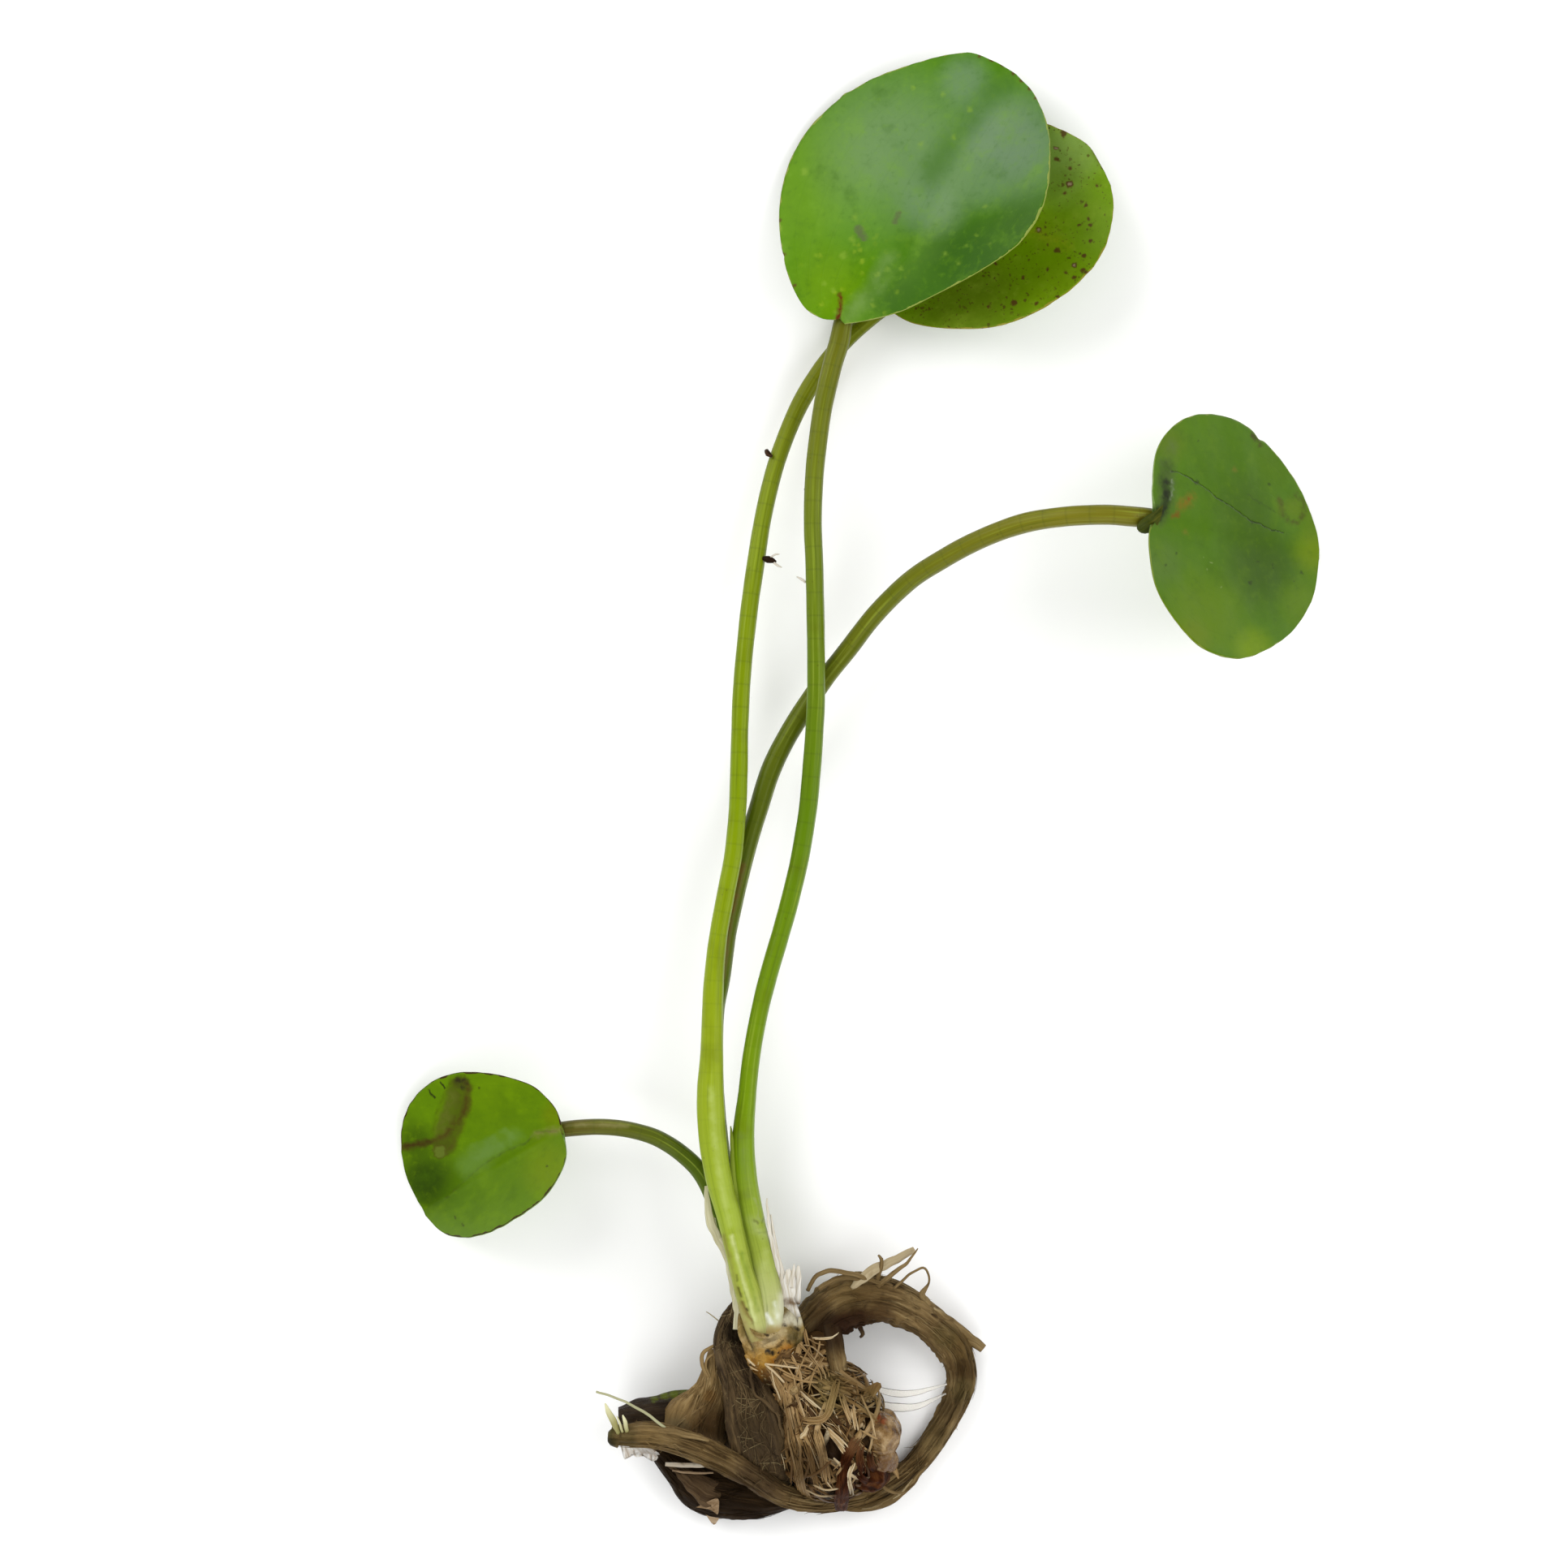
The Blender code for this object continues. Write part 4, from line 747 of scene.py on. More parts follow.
def make_blade(name, skins):
    """A leaf blade: both faces with a thin rounded margin, and the keel under the midrib."""
    leaf, settings = LEAVES[name], plant_settings()
    rows, half = settings.blade_rows, settings.blade_rows * 2 // 5
    thick = settings.blade_thickness / MM
    base, tip = np.array(leaf["base"])[:2], np.array(leaf["tip"])[:2]
    length = np.linalg.norm(tip - base)
    onward = (tip - base) / length
    left = np.array([-onward[1], onward[0]])
    share = (1 - np.cos(math.pi * np.arange(rows + 1) / rows)) / 2
    middle = base + np.outer(length * share, onward)
    middle = middle - np.outer(leaf["sway"] * np.sin(2 * math.pi * share), left)
    reach = np.concatenate([np.linspace(1, 0, half + 1), np.linspace(0, 1, half + 1)[1:]])
    side = np.concatenate([np.ones(half), [0.0], -np.ones(half)])
    margins = {1: spread_along(leaf["left"], rows), -1: spread_along(leaf["right"], rows)}
    for which, margin in margins.items():
        nicks = 0.3 * share * rough(np.c_[margin, np.zeros(rows + 1)], 2.2, which + 3.0)
        for x, y, radius, out in leaf.get("nicks", ()):
            nicks = nicks + out * np.exp(-(np.hypot(margin[:, 0] - x, margin[:, 1] - y) / radius)**2)
        margins[which] = margin + unit(margin - middle) * nicks[:, None]
    edge = np.where((side > 0)[None, :, None], margins[1][:, None], margins[-1][:, None])
    place = middle[:, None] + (edge - middle[:, None]) * reach[None, :, None]
    upper = np.concatenate([place, blade_height(leaf, place)[..., None]], axis=-1)
    upper[..., 2] = np.maximum(upper[..., 2], thick)
    away = np.linalg.norm(place - middle[:, None], axis=-1)
    to_margin = np.linalg.norm(place - edge, axis=-1)
    thin_band, keel_depth, keel_half = 1.6, 0.9, 2.3  # in mm: the margin gets thin over the first
    thin = 0.3 + 0.7 * np.clip(to_margin / thin_band, 0, 1) ** 0.5
    keel = keel_depth * (1 - share[:, None]) ** 0.7 * np.exp(-((away / keel_half) ** 2))
    lower = upper - blade_normal(leaf, place) * (thick * thin + keel)[..., None]
    rings = np.concatenate([upper, lower[:, ::-1]], axis=1)
    grain = np.stack([reach * side + 0 * away, share[:, None] + 0 * away, to_margin], axis=-1)
    grain = np.concatenate([grain, grain[:, ::-1]], axis=1)
    columns = len(reach)
    under = [0] * columns + [1] * columns
    shape = Shape()
    shape.add_rings(rings, grain, share, under)
    shape.make(name + "_blade", skins, name)


# Marks drawn on a stalk: points seen from above, colour, width, softness and strength
FRONT_STALK_MARKS = [
    # This whitish mark and the two at the end are painted highlights on the wet foot of the stalk
    ([(-20.6, -122.5), (-20.8, -126), (-21.4, -129.6)], "#d9d8bc", 2.2, 1.0, 0.75),
    ([(-24.9, -112), (-25.4, -118), (-24.8, -124)], "#b9c27c", 1.4, 1.0, 0.5),
    ([(-28, -104), (-27, -106.5), (-24.8, -108)], "#a9b47a", 1.6, 1.4, 0.5),
    ([(-27.6, -104.2), (-26.6, -105)], "#4b4a20", 0.5, 0.4, 0.7),
    ([(-24.2, -106.2), (-23.6, -107.6)], "#55471e", 0.5, 0.4, 0.7),
    ([(-22.2, -112), (-21.4, -118), (-20.6, -122)], "#7a6a34", 0.5, 0.4, 0.5),
    ([(-27.4, -99), (-26.4, -101.4), (-26.8, -103.6), (-25.2, -104.6)], "#8d9a5a", 0.5, 0.3, 0.7),
    ([(-25.4, -100.6), (-24.6, -102.6), (-25.6, -104.8)], "#5a6a2a", 0.35, 0.25, 0.6),
    ([(-30.6, -84), (-29.8, -91), (-28.8, -98)], "#71804a", 1.6, 1.2, 0.5),
    ([(-26.4, -107.4), (-24, -107)], "#76823e", 0.5, 0.4, 0.5),
    ([(-26.4, -132), (-22.6, -131.4), (-18.8, -130.4)], "#a8925e", 3.0, 1.2, 1.0),
    # Painted highlights: whitish wet glints on the foot of the stalk
    ([(-24.4, -127.2), (-23.4, -129)], "#e4e6da", 1.0, 0.6, 0.9),
    ([(-22.6, -124.2), (-21.9, -127.8)], "#dfe3cf", 0.8, 0.6, 0.8),
]
REAR_STALK_MARKS = [
    # Painted highlight: a pale line along the top of the stalk
    ([(-33, -108), (-30.6, -117), (-28.4, -124.5), (-26.8, -131)], "#ccd494", 0.8, 0.6, 0.8),
    ([(-30.6, -112), (-28.6, -119), (-26.6, -126)], "#5f7a14", 0.9, 0.7, 0.6),
    ([(-35, -108), (-33, -115.5), (-31.7, -122), (-30.2, -127)], "#6f5a2a", 1.0, 0.8, 0.55),
    # Painted highlight: a pale line along the top of the stalk
    ([(-38, -72), (-37.2, -84), (-35.6, -95), (-33.6, -105)], "#b4c36c", 1.2, 0.9, 0.7),
    ([(-31.9, -117.4), (-31.5, -118.6)], "#2c2008", 0.5, 0.3, 0.9),
    ([(-31.4, -120.6), (-30.6, -122.6)], "#33240c", 0.6, 0.4, 0.8),
    ([(-30.4, -124), (-29.4, -126.6), (-28, -129)], "#5a3c1a", 0.7, 0.5, 0.85),
    ([(-29.4, -125.6), (-29.2, -125.9)], "#1c1206", 0.5, 0.3, 0.9),
    ([(-31.8, -126.8), (-29.8, -130.4), (-26.6, -132.9), (-22.6, -133.4)], "#9a8450", 3.6, 1.6, 0.95),
]
# A web of thin skin between the two tall stalks
STALK_WEB = [
    (-33.3, -81.4, 19, 0.15, 0.2), (-32.6, -88, 19.2, 0.8, 0.35), (-32.2, -97, 19.4, 1.3, 0.5),
    (-31.2, -105.6, 19.6, 1.3, 0.6), (-29.4, -113.5, 20, 1.1, 0.6), (-27.6, -121.4, 20.4, 0.9, 0.6),
    (-26.2, -128, 20.6, 0.7, 0.5),
]
# Withered scales and buds on the stalks, and their shades
BUDS = [
    [(-24.6, 83.6, 9, 0.5, 0.5), (-24.2, 82.6, 9.6, 0.7, 0.6), (-23.2, 82, 10, 0.3, 0.3)],
    [(-25.4, 57, 11.8, 0.5, 0.5), (-24.2, 56.7, 12.2, 0.9, 0.7), (-22.9, 56.3, 12.4, 0.6, 0.5),
     (-22.2, 56.1, 12.5, 0.2, 0.2)],
    [(-23.6, 57.2, 12.6, 0.2, 0.15), (-22.4, 57.9, 12.8, 0.25, 0.15), (-21.4, 58, 12.9, 0.1, 0.1)],
    [(-22.8, 55.9, 12.6, 0.3, 0.15), (-21.8, 55.2, 12.8, 0.3, 0.15), (-20.8, 54.7, 12.9, 0.1, 0.1)],
    [(-17.2, 52.3, 17.6, 0.12, 0.1), (-16.2, 51.8, 17.8, 0.3, 0.15), (-15, 50.9, 17.8, 0.3, 0.2)],
    [(-15.2, 73.8, 16.6, 0.25, 0.2), (-14.9, 72.8, 16.8, 0.3, 0.25)],
]
BUD_TONES = [0.3, 0.1, 1.0, 1.0, 1.0, 0.3]


def stalk_flesh(name, stops, marks):
    """Fleshy stalk: thin wet skin over air chambers, so it is glossy, with cross walls that show."""
    flesh = Finish(name, Roughness=0.34, IOR=FLESH_IOR, Specular_IOR_Level=0.32, Specular_Tint="#c4cf86",
                   Coat_Weight=0.1, Coat_Roughness=0.12, Coat_IOR=WATER_IOR)
    up_stalk = flesh.add("Attribute", out="Fac", attribute_name="tone")
    flesh.colour = flesh.add("ValToRGB", {"Fac": up_stalk}, stops=stops)
    streaks = flesh.fibres(1.6, 0.03, 3.0)
    flesh.tint("#a3b548", streaks, 0.52, 0.78, 0.45)
    flesh.tint("#3c5208", streaks, 0.47, 0.22, 0.45)
    clouds = flesh.add("TexNoise", {"Vector": flesh.place, "Scale": 0.09, "Detail": 3.0})
    flesh.tint("#56600e", clouds, 0.5, 0.75, 0.4)
    along = flesh.add("SeparateXYZ", {0: flesh.grain}, out="Z")
    half_spacing = plant_settings().septum_spacing / MM / 2
    to_wall = flesh.add("Math", {0: along, 1: half_spacing}, operation="PINGPONG")
    upper = flesh.add("MapRange", {"Value": up_stalk, 1: 0.15, 2: 0.6, 3: 0.04, 4: 0.2},
                      interpolation_type="SMOOTHSTEP")
    walls = flesh.tint("#3f4a18", to_wall, 0.4, 0.05, 1.0, upper)
    flecks = flesh.add("TexVoronoi", {"Vector": flesh.place, "Scale": 0.5}, out="Distance")
    flesh.tint("#4a3a18", flecks, 0.16, 0.08, 0.35, flesh.patches(0.05, 1.0, 0.5, 0.6))
    flesh.flatten(0.9)
    for points, other, width, soft, strength in marks:
        flesh.mark(other, points, width, soft, strength, strength * 0.5, 0.3)
    flesh.reliefs = [(streaks, 0.12), (walls, -0.012)]
    flesh.dress()
    return flesh


def make_stalk(name, flesh):
    """A stalk, faintly ribbed and nipped in a little at each cross wall."""
    route = Route(STALKS[name], 1.3)
    spacing = plant_settings().septum_spacing / MM
    ribs, rib_height, nip, nip_half = 9, 0.012, 0.006, 0.5

    def swell(grain, angle):
        near = np.abs((grain[..., 2] / spacing + 0.5) % 1 - 0.5) * spacing
        nipped = nip * np.exp(-((near / nip_half) ** 2))
        return rib_height * np.cos(ribs * angle) - nipped + 0.03 * rough(grain, 7.0)

    rings, grain = route.rings(28, swell)
    shape = Shape()
    shape.add_rings(rings, grain, route.along / route.along[-1])
    shape.make(name + "_flesh", [flesh], name)


def dead_tissue(name, stops, roughness=0.55, contrast=0.8, relief=0.5, spread=0.5, spots=()):
    """Rotted plant tissue: only the long fibres are left, so it is dull and streaked lengthwise.

    spread is how much one strand may differ in shade from the next.
    """
    tissue = Finish(name, Roughness=roughness, IOR=WALL_IOR, Specular_IOR_Level=0.22,
                    Specular_Tint="#d8c49c", Coat_Weight=0.05, Coat_Roughness=0.25, Coat_IOR=WATER_IOR)
    # Fibre bundles are about 0.6 mm wide and run 10 to 20 mm before they split or cross
    fine = tissue.fibres(1.8, 0.12, 6.0, 0.7, 0.5)
    broad = tissue.fibres(0.4, 0.06, 3.0, 0.5, 0.8)
    both = tissue.add("Math", {0: fine, 1: broad}, operation="ADD")
    shade = tissue.add("MapRange", {"Value": both, 1: 1.0 - 0.5 / contrast, 2: 1.0 + 0.5 / contrast})
    tone = tissue.add("Attribute", out="Fac", attribute_name="tone")
    tone = tissue.add("Math", {0: tone, 1: spread, 2: -spread / 2}, operation="MULTIPLY_ADD")
    shade = tissue.add("Math", {0: shade, 1: tone}, operation="ADD", use_clamp=True)
    tissue.colour = tissue.add("ValToRGB", {"Fac": shade}, stops=stops)
    if spots:
        tissue.flatten()
        for x, y, radius, other, strength in spots:
            tissue.mark(other, [(x, y, radius)], 0.0, radius * 0.5, strength)
    dirt = tissue.add("TexNoise", {"Vector": tissue.place, "Scale": 0.5, "Detail": 5.0})
    tissue.tint(stops[0][1], dirt, 0.56, 0.8, 0.6)
    tissue.reliefs = [(fine, relief)]
    tissue.dress()
    return tissue


def make_fibrous(shape, stations, seed, sides=64, spacing=0.8, ridges=0.12, lumps=0.1, tone=0.5, folds=(),
                 ragged=0.03):
    """A rotted tube whose skin has sunk between its fibres, with ragged edges.

    folds are grooves along it: the angle where one starts, its turn per mm, and its depth as a share.
    """
    route = Route(stations, spacing)
    fold_half = 0.11  # a groove's half width, as a share of the tube's width

    def swell(grain, angle):
        turn = np.stack(np.broadcast_arrays(
            3.2 * np.cos(angle)[None, :], 3.2 * np.sin(angle)[None, :], grain[..., 2] / 16), axis=-1)
        fine = rough(turn * np.array([2.4, 2.4, 1.6]), 1.0, seed + 5.0)
        ridge = 1 - 2 * np.abs(rough(turn, 1.0, seed))
        grow = ridges * (0.55 * ridge + 0.8 * fine) + lumps * rough(grain, 6.0, seed + 9.0)
        grow = grow + ragged * rough(grain, 1.7, seed + 3.0)
        for start, twist, depth in folds:
            apart = np.sin((angle[None, :] - math.radians(start) - twist * grain[..., 2]) / 2)
            grow = grow - depth * np.exp(-((apart / fold_half) ** 2))
        return grow

    rings, grain = route.rings(sides, swell)
    shape.add_rings(rings, grain, tone)
    return route


def add_loose(shape, routes, tone, seed=0.0, sides=8, wander=0.2):
    """Strands and scraps, each along its own stations. tone is one number for all, or one each."""
    for i, (stations, shade) in enumerate(zip(routes, np.broadcast_to(tone, len(routes)))):
        route = Route(stations, 0.6)
        sway = [rough(route.middle, 2.2, seed + i + axis) for axis in range(3)]
        route.middle = route.middle + wander * np.stack(sway, axis=-1)
        rings, grain = route.rings(sides)
        shape.add_rings(rings, grain, shade)


def add_flaps(shape, outlines, thick, tone, seed, crumple=0.4):
    """Limp sheets of tissue inside outlines of x, y, z, with fibres along each one's first side."""
    for i, (outline, shade) in enumerate(zip(outlines, np.broadcast_to(tone, len(outlines)))):
        rim = smooth_line([*outline, outline[0]], 1.0)[:-1]
        middle = rim.mean(0)
        shares = np.linspace(1.0, 0.0, 9)[:-1]
        upper = middle + (rim[None] - middle) * shares[:, None, None]
        upper[..., 2] += crumple * rough(upper, 3.5, seed + i) * (1.2 - shares[:, None])
        lower = upper - UP * thick * np.clip((1.15 - shares) * 4, 0.3, 1)[:, None, None]
        onward = unit(rim[1] - rim[0])
        side = unit(np.cross(UP, onward))
        rings = np.concatenate([upper[::-1], lower])
        grain = np.stack([(rings - middle) @ side, rings[..., 2], (rings - middle) @ onward], axis=-1)
        shape.add_rings(rings, grain, shade)


def add_fibres(shape, route, seed, count, length, width, peel=1.2, tones=(0.2, 1), cross=0.5):
    """Loose fibres on a rotted tube, some with an end that has come away.

    cross is the turn in radians by which one may run off the way of the tube.
    """
    rng = random.Random(seed)
    loose_share, loose_from = 0.5, 0.6  # share of fibres that come away, and from where along them
    for _ in range(count):
        run = min(rng.uniform(*length), route.along[-1] * 0.95)
        start = rng.uniform(0.0, route.along[-1] - run)
        steps = max(6, int(run / 1.3))
        t = np.linspace(0, 1, steps)
        angle = rng.uniform(0, 2 * math.pi) + rng.uniform(-cross, cross) * t
        angle = angle + 0.12 * np.sin(t * rng.uniform(3, 9) + rng.uniform(0, 6))
        lifted = rng.uniform(0.0, peel) if rng.random() < loose_share else 0.0
        away = np.clip((t - loose_from) / 0.4, 0, 1) ** 2
        proud = rng.uniform(-0.1, 0.15) + lifted * away
        points, way = route.at(start + run * t, angle, proud)
        half = rng.uniform(*width) * taper(steps)
        add_strand(shape, points, way, half, half * 0.5, rng.uniform(*tones), 5)


def plant_settings():
    return bpy.context.scene.water_poppy


def colour_property(name, description, default):
    return FloatVectorProperty(name=name, description=description, subtype="COLOR", size=3, min=0.0,
                               max=1.0, default=linear(default))


class WaterPoppySettings(bpy.types.PropertyGroup):
    """Sizes and colours of the plant that a user may change."""

    blade_thickness: FloatProperty(
        name="Blade thickness", description="Thickness of a leaf blade away from its margin",
        default=0.8 * MM, min=0.2 * MM, max=2 * MM, unit="LENGTH")
    blade_rows: IntProperty(
        name="Blade rows", description="Rows of points from the base of a blade to its tip",
        default=120, min=30, max=240)
    septum_spacing: FloatProperty(
        name="Cross wall spacing", description="Distance between the cross walls inside a stalk",
        default=5.6 * MM, min=2 * MM, max=20 * MM, unit="LENGTH")
    gloss_roughness: FloatProperty(
        name="Leaf roughness", description="Roughness of the wax on the leaves", default=0.36,
        min=0.05, max=1.0, subtype="FACTOR")
    root_count: IntProperty(
        name="Roots", description="Roots scattered over the root mass", default=190, min=20, max=400)
    front_green: colour_property("Front leaf", "Green of the large front leaf", "#4a7a12")
    behind_green: colour_property("Leaf behind", "Olive green of the leaf behind", "#6a8e16")
    right_green: colour_property("Right leaf", "Green of the leaf at the right", "#4a6f12")
    small_green: colour_property("Small leaf", "Yellow green of the small leaf", "#587a08")
    depth: FloatProperty(
        name="Brightness", description="How bright the colours of the plant are", default=0.84,
        min=0.2, max=2.0, subtype="FACTOR")
    floor_colour: colour_property("Table", "Colour of the table", "#fbfbfa")
    lamp_power: FloatProperty(
        name="Lamp power", description="Power of the large soft lamp", default=16.5, min=0.0,
        unit="POWER")


# The lobe that is folded under at the base of the right leaf
FOLDED_LOBE = [
    (70.4, 68.6, 45.4), (68.2, 67, 46.2), (65.6, 65.4, 46.6), (64, 63.6, 46), (64.5, 62.2, 44.6),
    (66.1, 61.7, 43.6), (68, 62.4, 43.6), (69.6, 64.8, 45),
]


class WATERPOPPY_OT_leaves(bpy.types.Operator):
    """Build the leaf blades with their marks"""

    bl_idname = "waterpoppy.leaves"
    bl_label = "Leaf blades"

    def execute(self, context):
        settings = plant_settings()
        under = leaf_underside("leaf underside, spongy", "#7d9a52", "#5a7a30")
        skins = {
            "leaf_front": front_leaf_skin(settings), "leaf_behind": speckled_leaf_skin(settings),
            "leaf_right": bruised_leaf_skin(settings), "leaf_small": decayed_leaf_skin(settings),
        }
        for name, skin in skins.items():
            make_blade(name, [skin, under])
        # Crushed leaf: its cells are full of water, so it is dark, with streaks of yellow
        bruised = dead_tissue(
            "bruised leaf lobe", [(0, "#1c240c"), (0.5, "#3c4614"), (1, "#6a6424")], 0.35, 0.9, 0.2)
        shape = Shape()
        add_flaps(shape, [FOLDED_LOBE], 0.7, 0.5, 4.0, 0.5)
        shape.make("leaf_right_lobe", [bruised])
        return {"FINISHED"}


class WATERPOPPY_OT_stalks(bpy.types.Operator):
    """Build the fleshy stalks"""

    bl_idname = "waterpoppy.stalks"
    bl_label = "Stalks"

    def execute(self, context):
        # Name, colours from the crown up to the leaf, and marks
        looks = {
            "stalk_front": (
                "stalk skin, mid green",
                [(0, "#c8c6a0"), (0.04, "#b0b478"), (0.08, "#94a244"), (0.17, "#75921c"),
                 (0.5, "#5a7a14"), (0.75, "#66761c"), (0.9, "#686c1a"), (1, "#5c5c14")],
                FRONT_STALK_MARKS),
            "stalk_behind": (
                "stalk skin, bright green",
                [(0, "#b8b880"), (0.05, "#a0ab4a"), (0.12, "#98ab3c"), (0.25, "#8ea026"),
                 (0.5, "#7a9012"), (0.75, "#76861a"), (0.9, "#6f7418"), (1, "#5f6a14")],
                REAR_STALK_MARKS),
            "stalk_right": (
                "stalk skin, olive",
                [(0, "#8a9a50"), (0.2, "#5a6e1a"), (0.4, "#4c5a14"), (0.55, "#545f14"), (0.75, "#676a18"),
                 (0.9, "#74701e"), (1, "#6a641e")],
                [([(-30.5, -18), (-33.8, -32), (-35.8, -46)], "#6b4a24", 1.6, 0.8, 0.8)]),
            "stalk_small": (
                "stalk skin, olive brown",
                [(0, "#7c8c48"), (0.35, "#47621a"), (0.6, "#4f5e18"), (0.8, "#56561c"), (1, "#57481c")],
                [([(-58.5, -81.6), (-65, -81.2), (-71, -81.4)], "#a39a68", 0.9, 0.7, 0.4)]),
        }
        flesh = {name: stalk_flesh(*look) for name, look in looks.items()}
        for name, finish in flesh.items():
            make_stalk(name, finish)
        shape = Shape()
        add_loose(shape, [STALK_WEB], 0.11, 4.0, 14, 0.1)
        shape.make("stalk_web", [flesh["stalk_front"]])
        # A scale that has dried out: papery and nearly white at its end, dark where it is thick
        withered = dead_tissue(
            "withered scale", [(0, "#23130b"), (0.5, "#6a4a30"), (1, "#e2dacb")], spread=1.8)
        shape = Shape()
        add_loose(shape, BUDS, BUD_TONES, 1.0, 10, 0.1)
        shape.make("stalk_buds", [withered])
        return {"FINISHED"}


# Torn rims of old membrane round the foot of the stalks
CROWN_SCRAPS = [
    [(-31, -126.6, 18, 0.3, 0.25), (-30.9, -129.8, 19.6, 0.8, 0.4), (-30.2, -133, 20.4, 0.9, 0.4),
     (-28.2, -135.8, 21.2, 0.4, 0.3)],
    [(-28.6, -130.4, 21.9, 0.2, 0.2), (-26.6, -131.9, 22.6, 0.6, 0.3), (-24, -132.2, 22.9, 0.6, 0.3),
     (-22, -131.4, 22.4, 0.3, 0.2)],
    [(-16.4, -128, 17.8, 0.4, 0.3), (-16.2, -131.4, 18.6, 0.9, 0.4), (-17, -134.6, 19.6, 0.8, 0.4),
     (-18.6, -137, 20.6, 0.3, 0.2)],
    [(-25.2, -134.6, 22.7, 0.3, 0.2), (-23.2, -134.2, 23.2, 0.8, 0.4), (-21.2, -133, 22.6, 0.4, 0.2)],
    [(-29.6, -137, 19.6, 0.5, 0.4), (-28.4, -138.6, 20.2, 0.8, 0.5), (-27, -139.4, 20.6, 0.5, 0.4)],
]


def crown_flesh():
    """Soft wet flesh under torn membrane: it glistens, with some glints painted in, golden below and
    cream or green above.
    """
    flesh = Finish("crown flesh, wet", Roughness=0.34, IOR=FLESH_IOR, Specular_IOR_Level=0.35,
                   Specular_Tint="#e0d2a0", Coat_Weight=0.15, Coat_Roughness=0.15,
                   Coat_IOR=WATER_IOR)
    lumps = flesh.add("TexNoise", {"Vector": flesh.place, "Scale": 0.4, "Detail": 5.0,
                                   "Roughness": 0.6})
    height = flesh.add("SeparateXYZ", {0: flesh.place}, out="Y")
    uneven = flesh.add("Math", {0: lumps, 1: 9.0, 2: -4.5}, operation="MULTIPLY_ADD")
    height = flesh.add("Math", {0: height, 1: uneven}, operation="ADD")
    share = flesh.add("MapRange", {"Value": height, 1: -144.0, 2: -127.0})
    flesh.colour = flesh.add("ValToRGB", {"Fac": share}, stops=[
        (0, "#301d0c"), (0.24, "#7e5522"), (0.36, "#a37a38"), (0.5, "#ab8a52"), (0.64, "#b49a6c"),
        (0.8, "#8d7642"), (1, "#6f5d2a")])
    membrane = flesh.add("TexNoise", {"Vector": flesh.place, "Scale": 0.75, "Detail": 6.0,
                                      "Roughness": 0.7, "Distortion": 1.2})
    flesh.tint("#563712", membrane, 0.52, 0.68, 0.7)
    flesh.tint("#d0c090", membrane, 0.46, 0.3, 0.7)
    flesh.flatten()
    patches = [
        ("#b68a3c", [(-23.6, -137.4, 2.6), (-20, -135.6, 2.4)], 1.6, 0.6),
        ("#b46e26", [(-19.4, -136.8, 2.3), (-18.4, -137.8, 1.6), (-22.8, -138.2, 1)], 1.4, 0.7),
        # Painted highlights: milky wet glints on the crown's shoulder
        ("#d2cdb4", [(-18.8, -128.2, 1.5), (-17.2, -129, 1.3), (-20.2, -128.8, 1.1)], 1.0, 0.85),
        ("#453a12", [(-18, -132.6, 1.8), (-16.6, -134, 1.6)], 1.4, 0.9),
        ("#c9b78e", [(-23, -132.6, 1.5), (-21.2, -131.2, 1.2), (-25, -134.2, 1)], 1.0, 0.6),
    ]
    for other, spots, soft, strength in patches:
        flesh.mark(other, spots, 0.0, soft, strength)
    flesh.mark("#76663c", [(-29.8, -127), (-29.6, -131.5), (-27.6, -135)], 2.2, 1.2, 0.9, 0.3)
    rim = [(-28, -131.2), (-25.6, -132.2), (-22.4, -131.4), (-20.6, -129.2)]
    flesh.mark("#6a5526", rim, 0.8, 0.6, 0.9, 0.1)
    crumbs = [([(-25.5, -130.8), (-24.3, -131.8)], 0.8), ([(-24.6, -136), (-22.9, -136.3)], 1.2),
              ([(-17.6, -130.6), (-16.7, -131.2)], 0.7), ([(-22, -134.9), (-20.6, -133.6)], 0.7),
              ([(-20.4, -129.6), (-20, -129.9)], 0.7), ([(-19.2, -133.6), (-18.6, -134.4)], 0.5)]
    for ends, width in crumbs:
        flesh.mark("#1a0f06", ends, width, 0.3, 1.0, 0.6)
    flesh.reliefs = [(lumps, 0.6), (membrane, 0.5)]
    flesh.dress()
    return flesh


class WATERPOPPY_OT_crown(bpy.types.Operator):
    """Build the crown that the stalks grow from"""

    bl_idname = "waterpoppy.crown"
    bl_label = "Crown"

    def execute(self, context):
        shape = Shape()
        route = Route(CROWN, 0.4)

        def swell(grain, angle):
            ribs = rough(grain * np.array([0.5, 0.5, 0.1]), 1.0, 4.0)
            return 0.07 * ribs + 0.05 * rough(grain, 3.0, 5.0) + 0.03 * rough(grain, 1.0, 6.0) - 0.04

        rings, grain = route.rings(96, swell)
        shape.add_rings(rings, grain, 0.5)
        add_loose(shape, CROWN_SCRAPS, 0.5, 3.0, 12, 0.15)
        shape.make("crown_flesh", [crown_flesh()], "crown")
        return {"FINISHED"}


